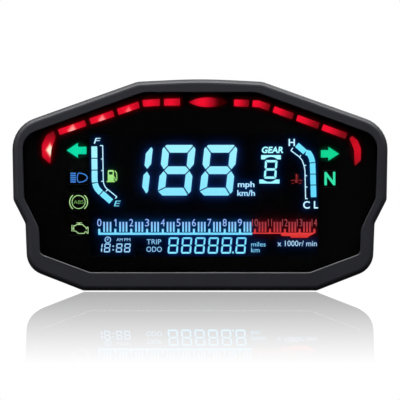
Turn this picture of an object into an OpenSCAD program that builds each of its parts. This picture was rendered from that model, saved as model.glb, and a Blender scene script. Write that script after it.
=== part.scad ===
// Instrument cluster for a motorcycle: a sealed plastic case with a smoked window, an LCD,
// a row of shift lights, telltales, a circuit board, two setting buttons and a rear socket.
//
// Every sub-part is drawn in the face frame: x to the right, y up from the bottom edge of the
// case, z forwards from the plane of the mounting bosses. stand() then turns it upright, with
// the face towards -Y, the height along +Z and the origin at the centre of the bolt circle.

/* [Case] */
// Height of the case at its centre
case_h = 94.8; // [93:0.1:97]
// Depth from the mounting plane to the front face
case_d = 33; // [33:0.5:38]
// Largest width of the case, at the shoulders
case_w = 168.2; // [167:0.2:172]
// Radius of the rounded front edge
edge_r = 2.25; // [1:0.25:2.5]
// Thickness of the case walls
wall = 2.5; // [2:0.1:2.5]
// Width of the small bevel round the window
window_bevel = 0.3; // [0.2:0.1:0.6]

/* [Window] */
// How far the window lies behind the front face
lens_recess = 1.2; // [0.8:0.1:1.4]
// Width of the hidden flange that holds the window
lens_flange = 1.8; // [1.2:0.1:1.8]

/* [Display] */
// Sideways offset of the display behind the window
display_x = 0.9; // [0:0.1:1]
// Thickness of the printed mask and of the windows set in it
mask_t = 0.8; // [0.6:0.1:0.8]
// Air gap between the mask and the window
air_gap = 0.3; // [0.3:0.1:0.4]
// Thickness of each sheet of display glass
glass_t = 1.1; // [0.7:0.1:1.1]

/* [Board] */
// Thickness of the circuit board
board_t = 1.6; // [1.2:0.2:1.6]

/* [Mounting] */
// Diameter of the bolt circle
bolt_circle_d = 50; // [48:1:52]
// Core diameter of the thread in the inserts
thread_d = 5; // [4.2:0.1:5]
// Travel of the setting buttons
button_travel = 1; // [0.6:0.1:1.2]

/* [Hidden] */
$fn = 48;

CHARCOAL = "#2b2b33";
BLACK = "#101012";
RED = "#e0082c";
GREEN = "#12dfa4";
BLUE = "#2f7ad0";
LIME = "#a8d878";
CYAN = "#8fe8ff";
WHITE = "#e8e8e4";
CLEAR = "#b8c8d0";
BOARD_GREEN = "#1f5a3a";
STEEL = "#9a9a9a";
BRASS = "#c09a4a";
RUBBER = "#1c1c1c";

// Layers from front to back, as z in the face frame
lens_front = case_d - lens_recess;
lip_t = 2.2;
seal_t = 0.5;
flange_t = 1.5;
lens_back = case_d - lip_t - seal_t - flange_t;
mask_front = lens_back - air_gap;
mask_back = mask_front - mask_t;
polariser_t = 0.2;
board_front = 20;
board_back = board_front - board_t;
split_z = 9;
flange_back = 6.5;
hub_back = 3;
hub_wall = 2.5;
boss_top = mask_back - 0.5;

// Height of the bolt circle's centre above the bottom edge
mount_y = 50;

// Corners as [x, y, radius] for the right half, from the bottom up
case_half = [
    [52.2, 0, 3], [77.3, 9.8, 10], [78.1, 30, 4], [83.5, 40.6, 4],
    [case_w / 2, 73.4, 14.5], [28, 93.4, 10], [0, case_h, 250]
];
window_half = [
    [49, 8.15, 2], [71.5, 16.5, 2.5], [72.1, 28, 4], [78.6, 41.2, 4],
    [79.5, 69, 8.5], [25.4, 88.6, 10]
];
hub_half = [[50, 14, 4], [62, 22, 4], [62, 62, 6], [32, 83, 8]];

// ---- Outlines with rounded corners -------------------------------------------------------

function flip(c) = [-c[0], c[1], c[2]];
function mirrored(half) = concat(
    half,
    [for (i = [len(half) - 1:-1:0]) if (half[i][0] > 0) flip(half[i])]
);
function xy(c) = [c[0], c[1]];
function unit(v) = v / norm(v);
function left_of(v) = [-v[1], v[0]];
function turn(u, w) = atan2(cross(u, w), u * w);
function edge_dir(c, i) = unit(xy(c[(i + 1) % len(c)]) - xy(c[i % len(c)]));
function mitre(u, w) = (left_of(u) + left_of(w)) / (1 + left_of(u) * left_of(w));

// The same outline moved inwards by d, or outwards when d is negative
function inset(c, d) = [
    for (i = [0:len(c) - 1])
    let (
        u = edge_dir(c, i + len(c) - 1),
        w = edge_dir(c, i),
        p = xy(c[i]) + d * mitre(u, w)
    )
    [p[0], p[1], max(c[i][2] - sign(turn(u, w)) * d, 0.15)]
];

// Points along an outline, with an arc at each corner
function rounded(c, steps = 8) = [
    for (i = [0:len(c) - 1])
    let (
        u = edge_dir(c, i + len(c) - 1),
        w = edge_dir(c, i),
        a = turn(u, w),
        reach = sign(a) * c[i][2],
        centre = xy(c[i]) + reach * mitre(u, w),
        start = atan2(left_of(u)[1], left_of(u)[0])
    )
    for (k = [0:steps])
    let (b = start + a * k / steps)
    centre - reach * [cos(b), sin(b)]
];

// A point beside edge i of an outline, at the fraction t along it and d inside it
function beside(c, i, t, d) =
    xy(c[i]) * (1 - t) + xy(c[i + 1]) * t + d * left_of(edge_dir(c, i));

function box_outline(x0, y0, x1, y1, r) = [[x0, y0, r], [x1, y0, r], [x1, y1, r], [x0, y1, r]];

case_outline = mirrored(case_half);
window_outline = mirrored(window_half);
hub_outline = mirrored(hub_half);

// ---- Solids shared by the sub-parts -----------------------------------------------------

module stand() {
    rotate([90, 0, 0])
        translate([0, -mount_y, 0])
            children();
}

module slab(outline, z0, z1) {
    translate([0, 0, z0])
        linear_extrude(z1 - z0)
            polygon(rounded(outline));
}

// A closed skin through rings of equal length, each given as [outline, z], back to front
module loft(rings) {
    loops = [for (ring = rings) rounded(ring[0])];
    n = len(loops[0]);
    last = len(rings) - 1;
    points = [for (k = [0:last]) for (p = loops[k]) [p[0], p[1], rings[k][1]]];
    sides = [
        for (k = [0:last - 1])
        for (i = [0:n - 1])
        let (j = (i + 1) % n)
        each [
            [k * n + i, (k + 1) * n + i, (k + 1) * n + j],
            [k * n + i, (k + 1) * n + j, k * n + j]
        ]
    ];
    back = [for (i = [0:n - 1]) i];
    front = [for (i = [n - 1:-1:0]) last * n + i];
    polyhedron(points, concat(sides, [back, front]));
}

module peg(p, r, z0, z1) {
    translate([p[0], p[1], z0])
        cylinder(r = r, h = z1 - z0);
}

module brick(x0, y0, z0, x1, y1, z1) {
    translate([x0, y0, z0])
        cube([x1 - x0, y1 - y0, z1 - z0]);
}

module both_sides() {
    children();
    mirror([1, 0, 0])
        children();
}

// ---- Screw places ------------------------------------------------------------------------

cover_screw_inset = 3.5;
cover_screw_places = [
    for (s = [[0, 0.45], [3, 0.3], [4, 0.3], [5, 0.35]])
        beside(case_half, s[0], s[1], cover_screw_inset)
];
cover_boss_r = 2.7;
cover_pilot_r = 1.3;
board_screw_places = [[30, 5.6], beside(case_half, 3, 0.1, 5.6)];
box_screw_places = [[30, 75.4]];
board_boss_r = 2.3;
board_pilot_r = 0.95;
notch_r = cover_boss_r + 0.4;
function at_the_side(p) = p[1] > 20;

module cover_bosses(r, z0, z1) {
    both_sides()
        for (p = cover_screw_places)
            peg(p, r, z0, z1);
}

// ---- Case front --------------------------------------------------------------------------

module front_bezel() {
    edge_steps = 5;
    pilot_depth = 11;
    board_pilot_depth = 6;
    rings = concat(
        [[case_outline, split_z]],
        [
            for (k = [0:edge_steps])
            let (a = 90 * k / edge_steps)
            [inset(case_outline, edge_r * (1 - cos(a))), case_d - edge_r * (1 - sin(a))]
        ]
    );
    lip_back = case_d - lip_t;
    color(CHARCOAL)
        stand()
            difference() {
                union() {
                    difference() {
                        loft(rings);
                        slab(inset(case_outline, wall), split_z - 1, lip_back);
                        slab(window_outline, lip_back - 1, case_d);
                        loft([
                            [window_outline, case_d - window_bevel],
                            [inset(window_outline, -window_bevel), case_d],
                            [inset(window_outline, -window_bevel), case_d + 1]
                        ]);
                    }
                    cover_bosses(cover_boss_r, split_z, boss_top);
                    both_sides()
                        for (p = board_screw_places)
                            board_boss(p);
                }
                cover_bosses(cover_pilot_r, split_z - 1, split_z + pilot_depth);
                both_sides()
                    for (p = board_screw_places)
                        peg(p, board_pilot_r, board_front - 1, board_front + board_pilot_depth);
            }
}

// A post for a board screw, with a web back to the nearest wall
module board_boss(p) {
    web = 2.4;
    web_reach = 4.4;
    peg(p, board_boss_r, board_front, boss_top);
    if (at_the_side(p))
        brick(p[0], p[1] - web / 2, board_front, p[0] + web_reach, p[1] + web / 2, boss_top);
    else
        brick(p[0] - web / 2, 1, board_front, p[0] + web / 2, p[1], boss_top);
}

module lens_seal() {
    color(RUBBER)
        stand()
            difference() {
                slab(inset(window_outline, -1.6), lens_back + flange_t, case_d - lip_t);
                slab(inset(window_outline, -0.3), lens_back, case_d);
            }
}

module front_lens() {
    side_gap = 0.15;
    color(BLACK)
        stand() {
            slab(inset(window_outline, -lens_flange), lens_back, lens_back + flange_t);
            slab(inset(window_outline, side_gap), lens_back + flange_t, lens_front);
        }
}

// ---- Mask and the lit windows in it -----------------------------------------------------

lcd_open = [-49.5, 15.2, 52.9, 70.2];

// The shift lights run between two rails, given as [x, y] from the centre of the display
upper_rail = [[-66.5, 71.4], [-25.6, 85.65], [0, 86.2], [25.6, 85.1], [66.5, 69.95]];
lower_rail = [[-65.5, 69], [-25.3, 82.65], [0, 82.9], [25.3, 82.1], [65.5, 67.4]];
rail_bend = 25.5;
// Left and right end of each straight shift light
shift_ends = [
    [-63.2, -51.3], [-49.2, -38.7], [-36.8, -27.3], [-25.6, -18], [-16.1, -9],
    [15.2, 21.9], [23.5, 31.1], [32.9, 41.6], [43.4, 53.1], [54.8, 65.5]
];
left_hook = [
    [-67, 56.7, 0.3], [-66.6, 63, 4], [-64.7, 68.7, 0.4], [-65.6, 71.3, 0.4],
    [-69, 69.3, 4], [-70.9, 65, 4], [-70.6, 59.8, 1]
];
right_hook = [
    [69.3, 55.7, 0.3], [72, 58.4, 1], [72.1, 63.5, 5], [70.6, 67.2, 3],
    [68.2, 69.2, 0.4], [66.9, 68, 0.4], [69, 63, 4]
];
lens_light_half = 8.4;
lens_light_rise = 2.2;
lens_light_at = [3.3, 84.3];

// The end cuts stand square to the rails
function lean(x) = lookup(x, [[-30, -0.45], [-20, 0], [20, 0], [30, 0.45]]);
function on_rail(rail, x) = lookup(x - display_x, rail);

function shift_bar(ends) =
    let (
        x0 = ends[0],
        x1 = ends[1],
        bends = [
            for (b = [-rail_bend, rail_bend])
                if (b + display_x > x0 + 1 && b + display_x < x1 - 1) b + display_x
        ],
        low = concat([x0 - lean(x0)], bends, [x1 - lean(x1)]),
        high = concat([x1 + lean(x1)], bends, [x0 + lean(x0)])
    )
    concat(
        [for (x = low) [x, on_rail(lower_rail, x), 0.3]],
        [for (x = high) [x, on_rail(upper_rail, x), 0.3]]
    );

// Shift light i, counted from the left, made smaller by d
module shift_shape(i, d, z0, z1) {
    bar = i < 6 ? i - 1 : i - 2;
    if (i == 0)
        slab(inset(left_hook, d), z0, z1);
    else if (i == 12)
        slab(inset(right_hook, d), z0, z1);
    else if (i == 6)
        pointed_light(d, z0, z1);
    else
        slab(inset(shift_bar(shift_ends[bar]), d), z0, z1);
}

// Two arcs that meet in a point at each end
module pointed_light(d, z0, z1) {
    rise = lens_light_rise;
    r = (pow(lens_light_half, 2) + pow(rise, 2)) / (2 * rise);
    translate([lens_light_at[0], lens_light_at[1], z0])
        linear_extrude(z1 - z0)
            intersection() {
                translate([0, rise - r])
                    circle(r - d, $fn = 96);
                translate([0, r - rise])
                    circle(r - d, $fn = 96);
            }
}

turn_left_arrow = [
    [-59.8, 62.7, 0.15], [-54.6, 59.3, 0.15], [-54.6, 61, 0.15], [-50.8, 61, 0.15],
    [-50.8, 64.4, 0.15], [-54.6, 64.4, 0.15], [-54.6, 66.2, 0.15]
];
turn_right_arrow = [
    [62.4, 61.2, 0.15], [57.4, 64.4, 0.15], [57.4, 62.9, 0.15], [54.1, 62.9, 0.15],
    [54.1, 59.5, 0.15], [57.4, 59.5, 0.15], [57.4, 58, 0.15]
];
high_beam_chip = box_outline(-59.1, 47.4, -50.1, 54.1, 0.5);
abs_chip = box_outline(-59.5, 35.6, -50.1, 43.7, 0.5);
engine_chip = box_outline(-58.7, 24.7, -50.1, 31.5, 0.5);
neutral_chip = box_outline(54.7, 46.2, 61.6, 53.8, 0.5);
telltale_outlines = [
    turn_left_arrow, high_beam_chip, abs_chip, engine_chip, turn_right_arrow, neutral_chip
];
// Chambers behind the telltales, kept clear of the display frame
telltale_chambers = [
    box_outline(-59, 59.8, -52.8, 65.7, 0.5), box_outline(-58.6, 47.9, -52.8, 53.6, 0.5),
    box_outline(-59, 36.1, -52.8, 43.2, 0.5), box_outline(-58.2, 25.2, -52.8, 31, 0.5),
    box_outline(56.2, 58.2, 61.8, 63.6, 0.5), box_outline(56.2, 46.7, 61.1, 53.3, 0.5)
];
window_gap = 0.05;

module mask_plate() {
    color(BLACK)
        stand()
            difference() {
                slab(inset(window_outline, -1.6), mask_back, mask_front);
                slab(
                    box_outline(lcd_open[0], lcd_open[1], lcd_open[2], lcd_open[3], 1),
                    mask_back - 1, mask_front + 1
                );
                for (i = [0:12])
                    shift_shape(i, 0, mask_back - 1, mask_front + 1);
                for (outline = telltale_outlines)
                    slab(outline, mask_back - 1, mask_front + 1);
            }
}

module shift_window(i) {
    color(RED)
        stand()
            shift_shape(i, window_gap, mask_back, mask_front);
}

module telltale_window(i, shade) {
    color(shade)
        stand()
            slab(inset(telltale_outlines[i], window_gap), mask_back, mask_front);
}

// ---- Display -----------------------------------------------------------------------------

lcd_x0 = lcd_open[0] - 0.5;
lcd_x1 = lcd_open[2] + 0.5;
lcd_y0 = lcd_open[1] - 0.5;
lcd_y1 = lcd_open[3] + 0.5;
// Extra height of the front glass, which carries the contacts
ledge = 3;
front_glass_back = mask_back - polariser_t - glass_t;
rear_glass_back = front_glass_back - glass_t;
sheet_front = rear_glass_back - polariser_t;
guide_front = sheet_front - polariser_t;
guide_back = 22.2;
tray_floor = guide_back - polariser_t;
led_slot_y = lcd_y1 - 3;
// Slot in the frame for the contact strip
strip_inset = 3;
strip_edge = 0.3;
strip_gap = 0.15;

module lcd_sheet(z0, z1, y0 = lcd_y0, y1 = lcd_y1) {
    stand()
        brick(lcd_x0, y0, z0, lcd_x1, y1, z1);
}

module front_polariser() {
    color(BLACK)
        lcd_sheet(mask_back - polariser_t, mask_back);
}

module lcd_front_glass() {
    color(CYAN)
        lcd_sheet(front_glass_back, mask_back - polariser_t, y0 = lcd_y0 - ledge);
}

module lcd_rear_glass() {
    color(CLEAR)
        lcd_sheet(rear_glass_back, front_glass_back);
}

module rear_polariser() {
    color(BLACK)
        lcd_sheet(sheet_front, rear_glass_back);
}

module diffuser_sheet() {
    color(WHITE)
        lcd_sheet(guide_front, sheet_front);
}

module light_guide() {
    color(CLEAR)
        lcd_sheet(guide_back, guide_front, y1 = led_slot_y);
}

module reflector_sheet() {
    color(WHITE)
        lcd_sheet(tray_floor, guide_back, y1 = led_slot_y);
}

module backlight_leds() {
    count = 8;
    pitch = (lcd_x1 - lcd_x0) / count;
    size = [3.5, 2, 4];
    color(WHITE)
        stand()
            for (i = [0:count - 1])
                translate([
                    lcd_x0 + (i + 0.5) * pitch - size[0] / 2, led_slot_y + 0.2, board_front
                ])
                    cube(size);
}

module lcd_frame() {
    tray_wall = 1.2;
    led_slot_inset = 2;
    pin_relief_inset = 0.5;
    pin_relief_gap = 0.2;
    x0 = lcd_x0 - tray_wall;
    x1 = lcd_x1 + tray_wall;
    y0 = lcd_y0 - ledge - tray_wall;
    y1 = lcd_y1 + tray_wall;
    color(WHITE)
        stand()
            difference() {
                brick(x0, y0, board_front, x1, y1, mask_back);
                brick(lcd_x0, lcd_y0, tray_floor, lcd_x1, lcd_y1, case_d);
                brick(lcd_x0, lcd_y0 - ledge, front_glass_back, lcd_x1, lcd_y1, case_d);
                brick(
                    lcd_x0 + led_slot_inset, led_slot_y + 0.1, board_front - 1,
                    lcd_x1 - led_slot_inset, lcd_y1, tray_floor + 1
                );
                brick(
                    lcd_x0 + strip_inset, lcd_y0 - ledge + strip_edge, board_front - 1,
                    lcd_x1 - strip_inset, lcd_y0 - strip_edge, case_d
                );
                slab(
                    socket_outline(pin_relief_inset), board_front - 1,
                    board_front + pin_out + pin_relief_gap
                );
            }
}

module lcd_contact_strip() {
    color(RUBBER)
        stand()
            brick(
                lcd_x0 + strip_inset + strip_gap, lcd_y0 - ledge + strip_edge + strip_gap,
                board_front,
                lcd_x1 - strip_inset - strip_gap, lcd_y0 - strip_edge - strip_gap,
                front_glass_back
            );
}

// ---- Light box behind the windows -------------------------------------------------------

box_inset = wall + 0.4;

module light_box() {
    plate_t = 1.2;
    chamber_wall = 0.9;
    rim_t = 1.2;
    opening_gap = 1.4;
    frame_hole = box_outline(
        lcd_x0 - opening_gap, lcd_y0 - ledge - opening_gap,
        lcd_x1 + opening_gap, lcd_y1 + opening_gap, 0.5
    );
    color(WHITE)
        stand()
            difference() {
                union() {
                    slab(inset(case_outline, box_inset), mask_back - plate_t, mask_back);
                    difference() {
                        slab(inset(case_outline, box_inset), board_front, mask_back);
                        slab(inset(case_outline, box_inset + rim_t), board_front - 1, case_d);
                    }
                    for (i = [0:12])
                        shift_shape(i, -chamber_wall, board_front, mask_back);
                    for (outline = telltale_chambers)
                        slab(inset(outline, -chamber_wall), board_front, mask_back);
                    cover_bosses(notch_r + rim_t, board_front, mask_back);
                    both_sides()
                        for (p = box_screw_places)
                            peg(p, board_boss_r, board_front, mask_back);
                }
                for (i = [0:12])
                    shift_shape(i, 0.4, board_front - 1, case_d);
                for (outline = telltale_chambers)
                    slab(outline, board_front - 1, case_d);
                slab(frame_hole, board_front - 1, case_d);
                cover_bosses(notch_r, board_front - 1, case_d);
                difference() {
                    slab(inset(case_outline, -5), board_front - 2, case_d + 1);
                    slab(inset(case_outline, box_inset), board_front - 3, case_d + 2);
                }
                both_sides()
                    for (p = board_screw_places)
                        board_notch(p);
                both_sides()
                    for (p = box_screw_places)
                        peg(p, board_pilot_r, board_front - 1, mask_back - plate_t);
            }
}

// Room round a board boss and its web
module board_notch(p) {
    gap = 0.4;
    r = board_boss_r + gap;
    peg(p, r, board_front - 1, case_d);
    if (at_the_side(p))
        brick(p[0], p[1] - r, board_front - 1, p[0] + 8, p[1] + r, case_d);
    else
        brick(p[0] - r, -1, board_front - 1, p[0] + r, p[1], case_d);
}

// ---- Circuit board and what is soldered to it -------------------------------------------

button_at = [47, 28];
connector_at = [0, 25.5];
pin_pitch = 2.54;
pins_per_row = 10;
pin_row_gap = 5;
pin_r = 0.4;
// How far the pins stand out of the front of the board
pin_out = 0.9;
pin_places = [
    for (row = [-0.5, 0.5])
    for (i = [0:pins_per_row - 1])
        connector_at + [(i - (pins_per_row - 1) / 2) * pin_pitch, row * pin_row_gap]
];

module circuit_board() {
    board_inset = wall + 0.6;
    screw_clear = 0.15;
    color(BOARD_GREEN)
        stand()
            difference() {
                slab(inset(case_outline, board_inset), board_back, board_front);
                cover_bosses(notch_r, board_back - 1, board_front + 1);
                both_sides()
                    for (p = concat(board_screw_places, box_screw_places))
                        peg(p, board_pilot_r + screw_clear, board_back - 1, board_front + 1);
                for (p = pin_places)
                    peg(p, pin_r + 0.05, board_back - 1, board_front + 1);
            }
}

module led(p, size) {
    base_t = 0.8;
    dome_t = 0.8;
    translate([p[0] - size / 2, p[1] - size / 2, board_front])
        cube([size, size, base_t]);
    peg(p, size * 0.35, board_front + base_t, board_front + base_t + dome_t);
}

function middle(outline) = let (n = len(outline)) [
    for (axis = [0, 1]) ([for (c = outline) c[axis]] * [for (c = outline) 1]) / n
];

module shift_leds() {
    small = 1;
    large = 1.6;
    hook_leds = [[-69, 62], [70.5, 62]];
    color(WHITE)
        stand() {
            for (ends = shift_ends)
                led(middle(shift_bar(ends)), small);
            led(lens_light_at, large);
            for (p = hook_leds)
                led(p, large);
        }
}

module telltale_leds() {
    color(WHITE)
        stand()
            for (outline = telltale_chambers)
                led(middle(outline), 2.8);
}

// A flat chip with a row of leads along each side
module flat_chip(at, size, leads) {
    body_t = 1.4;
    pitch = size * 0.86 / leads;
    lead_reach = 1;
    translate([at[0], at[1], board_back]) {
        translate([-size / 2, -size / 2, -body_t - 0.1])
            cube([size, size, body_t]);
        for (quarter = [0:3])
            rotate(90 * quarter)
                for (i = [0:leads - 1])
                    translate([(i - (leads - 1) / 2) * pitch - pitch / 4, size / 2, -0.5])
                        cube([pitch / 2, lead_reach, 0.5]);
    }
}

module microcontroller() {
    color(BLACK)
        stand()
            flat_chip([-24, 62], 14, 12);
}

module display_driver() {
    color(BLACK)
        stand()
            flat_chip([24, 60], 10, 8);
}

module voltage_regulator() {
    at = [44, 44];
    body = [6.6, 6, 2.3];
    tab = [5.4, 3.6, 0.5];
    lead = [0.8, 2.6, 0.5];
    lead_x = 2.3;
    color(BLACK)
        stand()
            translate([at[0], at[1], board_back]) {
                translate([-body[0] / 2, -body[1] / 2, -body[2]])
                    cube(body);
                translate([-tab[0] / 2, body[1] / 2, -tab[2]])
                    cube(tab);
                for (x = [-lead_x, lead_x])
                    translate([x - lead[0] / 2, -body[1] / 2 - lead[1], -lead[2]])
                        cube(lead);
            }
}

module capacitors() {
    places = [[40, 62], [51, 58], [-44, 45]];
    base_t = 0.8;
    can_r = 4;
    can_h = 8.5;
    color(STEEL)
        stand()
            for (p = places) {
                translate([p[0] - can_r, p[1] - can_r, board_back - base_t])
                    cube([2 * can_r, 2 * can_r, base_t]);
                peg(p, can_r - 0.15, board_back - can_h, board_back - base_t);
            }
}

module crystal() {
    at = [-24, 47];
    can_r = 2.2;
    can_h = 3.5;
    half = 3.2;
    color(STEEL)
        stand()
            translate([at[0], at[1], board_back - can_h]) {
                for (x = [-half, half])
                    translate([x, 0, 0])
                        cylinder(r = can_r, h = can_h);
                translate([-half, -can_r, 0])
                    cube([2 * half, 2 * can_r, can_h]);
            }
}

// ---- Setting buttons ---------------------------------------------------------------------

tact_h = 3.6;
stem_r = 1.75;
stem_bore_r = 1.8;
stem_out = 1.5;
stem_in = 0.6;
tact_face = board_back - tact_h;
button_r = 4;
guide_r = 4.05;
guide_end = 7.9;
button_back = 0.8;
button_stop = guide_end + 1.6;
groove_z = [4.6, 6];
groove_r = 2.9;

module tact_switch(side) {
    half = 3;
    bore_end = tact_face + stem_in + button_travel + 0.2;
    color(BLACK)
        stand()
            translate([side * button_at[0], button_at[1], 0])
                difference() {
                    brick(-half, -half, tact_face, half, half, board_back);
                    peg([0, 0], stem_bore_r, tact_face - 1, bore_end);
                }
}

module tact_stem(side) {
    color(STEEL)
        stand()
            peg(
                [side * button_at[0], button_at[1]], stem_r,
                tact_face - stem_out, tact_face + stem_in
            );
}

module button(side) {
    dish_r = 9;
    dish_depth = 0.5;
    stop_lip = 1.4;
    neck_r = 2.5;
    color(RUBBER)
        stand()
            translate([side * button_at[0], button_at[1], 0])
                difference() {
                    union() {
                        peg([0, 0], button_r, button_back, guide_end);
                        peg([0, 0], button_r + stop_lip, guide_end, button_stop);
                        peg([0, 0], neck_r, button_stop, tact_face - stem_out);
                    }
                    difference() {
                        peg([0, 0], button_r + 1, groove_z[0], groove_z[1]);
                        peg([0, 0], groove_r, groove_z[0] - 1, groove_z[1] + 1);
                    }
                    translate([0, 0, button_back - dish_r + dish_depth])
                        sphere(dish_r, $fn = 64);
                }
}

module button_seal(side) {
    bead = (groove_z[1] - groove_z[0]) / 2 - 0.1;
    color(RUBBER)
        stand()
            translate([side * button_at[0], button_at[1], (groove_z[0] + groove_z[1]) / 2])
                rotate_extrude()
                    translate([button_r - bead, 0])
                        circle(bead, $fn = 24);
}

// ---- Socket for the wiring ---------------------------------------------------------------

socket_w = 32;
socket_h = 12.4;
socket_wall = 1.3;
socket_gap = 0.3;
socket_back = 1;
socket_floor = 13;
// The rubber gasket lies between the cover and the collar of the socket
gasket_back = hub_back + hub_wall;
collar_back = 6.9;
collar_front = 8.5;
collar_reach = 2.1;

function socket_outline(d) = let (w = socket_w / 2 - d, h = socket_h / 2 - d)
    box_outline(-w, connector_at[1] - h, w, connector_at[1] + h, max(1.5 - d, 0.3));

module connector_housing() {
    key_w = 3;
    key_wall = 0.6;
    key_floor = 5;
    floor_t = 2;
    color(BLACK)
        stand()
            difference() {
                union() {
                    slab(socket_outline(0), socket_back, board_back);
                    slab(socket_outline(-collar_reach), collar_back, collar_front);
                }
                slab(socket_outline(socket_wall), socket_back - 1, socket_floor);
                brick(
                    -key_w / 2, connector_at[1] + socket_h / 4, socket_back - 1,
                    key_w / 2, connector_at[1] + socket_h / 2 - key_wall, key_floor
                );
                slab(socket_outline(socket_wall), socket_floor + floor_t, board_back + 1);
                for (p = pin_places)
                    peg(p, pin_r + 0.02, 0, board_front);
            }
}

module connector_pins() {
    pin_tip = 6.5;
    color(BRASS)
        stand()
            for (p = pin_places)
                peg(p, pin_r, pin_tip, board_front + pin_out);
}

module connector_seal() {
    color(RUBBER)
        stand()
            difference() {
                slab(socket_outline(0.2 - collar_reach), gasket_back, collar_back);
                slab(socket_outline(-socket_gap), gasket_back - 1, collar_front);
            }
}

// ---- Rear cover and what it carries ------------------------------------------------------

cover_inset = 0.2;
cover_chamfer = 1;
hub_chamfer = 2;
seal_band = [1, 1.8];
seal_groove = 0.7;
guide_wall = 2;
insert_r = 4;
insert_l = 8;
mount_boss_r = 6.5;
screw_head_r = 2.4;
screw_seat = flange_back + 1;
cover_screw_clear = 1.4;
vent_at = [-40, 62];
vent_r = 2.6;
vent_lip = 2.2;
// Width and depth of the step round each button
button_step = [2.6, 0.6];

module mount_places() {
    translate([0, mount_y, 0])
        for (i = [0:2])
            rotate(90 + 120 * i)
                translate([bolt_circle_d / 2, 0, 0])
                    children();
}

// Grip ribs between the hub and the rim of the cover
module cover_ribs() {
    rib_t = 1.2;
    rib_back = 5.2;
    rib_from = 58;
    rib_to = 79;
    both_sides()
        for (y = [48:6:66])
            brick(
                rib_from, y - rib_t / 2, rib_back,
                rib_to - abs(y - 54) / 4, y + rib_t / 2, flange_back + 0.5
            );
}

module rear_cover() {
    color(CHARCOAL)
        stand()
            difference() {
                union() {
                    loft([
                        [inset(case_outline, cover_inset + cover_chamfer), flange_back],
                        [inset(case_outline, cover_inset), flange_back + cover_chamfer],
                        [inset(case_outline, cover_inset), split_z]
                    ]);
                    loft([
                        [inset(hub_outline, hub_chamfer), hub_back],
                        [hub_outline, hub_back + hub_chamfer],
                        [hub_outline, flange_back + 1]
                    ]);
                    cover_ribs();
                    mount_places()
                        cylinder(r = mount_boss_r, h = hub_back + 1);
                }
                difference() {
                    slab(inset(hub_outline, hub_wall), hub_back + hub_wall, split_z + 1);
                    mount_places()
                        cylinder(r = mount_boss_r, h = split_z + 0.5);
                    both_sides()
                        peg(button_at, guide_r + guide_wall, 0, guide_end);
                    peg(vent_at, vent_r + guide_wall, 0, guide_end);
                }
                both_sides()
                    peg(button_at, guide_r, 0, split_z + 2);
                both_sides()
                    peg(
                        button_at, guide_r + button_step[0],
                        hub_back - 1, hub_back + button_step[1]
                    );
                slab(socket_outline(-socket_gap), 0, split_z + 1);
                peg(vent_at, vent_r + 0.05, 0, split_z + 1);
                mount_places()
                    translate([0, 0, -1])
                        cylinder(r = insert_r + 0.02, h = insert_l + 1);
                difference() {
                    slab(inset(case_outline, seal_band[0]), split_z - seal_groove, split_z + 1);
                    slab(inset(case_outline, seal_band[1]), split_z - 2, split_z + 2);
                }
                cover_bosses(cover_screw_clear, 0, split_z + 1);
                cover_bosses(screw_head_r + 0.3, 0, screw_seat);
            }
}

module case_seal() {
    color(RUBBER)
        stand()
            difference() {
                slab(inset(case_outline, seal_band[0] + 0.05), split_z - seal_groove, split_z);
                slab(inset(case_outline, seal_band[1] - 0.05), 0, case_d);
            }
}

module mount_inserts() {
    color(BRASS)
        stand()
            mount_places()
                difference() {
                    cylinder(r = insert_r, h = insert_l);
                    translate([0, 0, -1])
                        cylinder(d = thread_d, h = insert_l);
                }
}

module vent_plug() {
    cap_t = 1.2;
    color(RUBBER)
        stand() {
            peg(vent_at, vent_r, hub_back, guide_end + button_step[1]);
            peg(vent_at, vent_r + vent_lip, hub_back - cap_t, hub_back);
        }
}

// A screw driven forwards from z0, with a cross recess in its head
module screw(p, head_r, head_h, shank_r, length, z0) {
    slot_w = 0.7;
    difference() {
        union() {
            peg(p, head_r, z0 - head_h, z0);
            peg(p, shank_r, z0, z0 + length);
        }
        for (a = [45, 135])
            translate([p[0], p[1], z0 - head_h - 0.1])
                rotate(a)
                    translate([-head_r * 0.6, -slot_w / 2, 0])
                        cube([head_r * 1.2, slot_w, head_h * 0.6]);
    }
}

module board_screws() {
    head_r = 1.8;
    head_h = 1.2;
    length = 6;
    color(STEEL)
        stand()
            both_sides()
                for (p = concat(board_screw_places, box_screw_places))
                    screw(p, head_r, head_h, board_pilot_r - 0.05, length, board_back);
}

module cover_screws() {
    head_h = 1.6;
    length = 11;
    color(STEEL)
        stand()
            both_sides()
                for (p = cover_screw_places)
                    screw(p, screw_head_r, head_h, cover_pilot_r - 0.05, length, screw_seat);
}

front_bezel();
lens_seal();
front_lens();
mask_plate();
shift_window(0);  // shift_window_01
shift_window(1);  // shift_window_02
shift_window(2);  // shift_window_03
shift_window(3);  // shift_window_04
shift_window(4);  // shift_window_05
shift_window(5);  // shift_window_06
shift_window(6);  // shift_window_07
shift_window(7);  // shift_window_08
shift_window(8);  // shift_window_09
shift_window(9);  // shift_window_10
shift_window(10);  // shift_window_11
shift_window(11);  // shift_window_12
shift_window(12);  // shift_window_13
telltale_window(0, GREEN);  // turn_left_window
telltale_window(1, BLUE);  // high_beam_window
telltale_window(2, LIME);  // abs_window
telltale_window(3, LIME);  // engine_window
telltale_window(4, GREEN);  // turn_right_window
telltale_window(5, GREEN);  // neutral_window
front_polariser();
lcd_front_glass();
lcd_rear_glass();
rear_polariser();
diffuser_sheet();
light_guide();
reflector_sheet();
backlight_leds();
lcd_frame();
lcd_contact_strip();
light_box();
circuit_board();
shift_leds();
telltale_leds();
microcontroller();
display_driver();
voltage_regulator();
capacitors();
crystal();
tact_switch(-1);  // tact_switch_left
tact_switch(1);  // tact_switch_right
tact_stem(-1);  // tact_stem_left
tact_stem(1);  // tact_stem_right
button(-1);  // button_left
button(1);  // button_right
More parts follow.
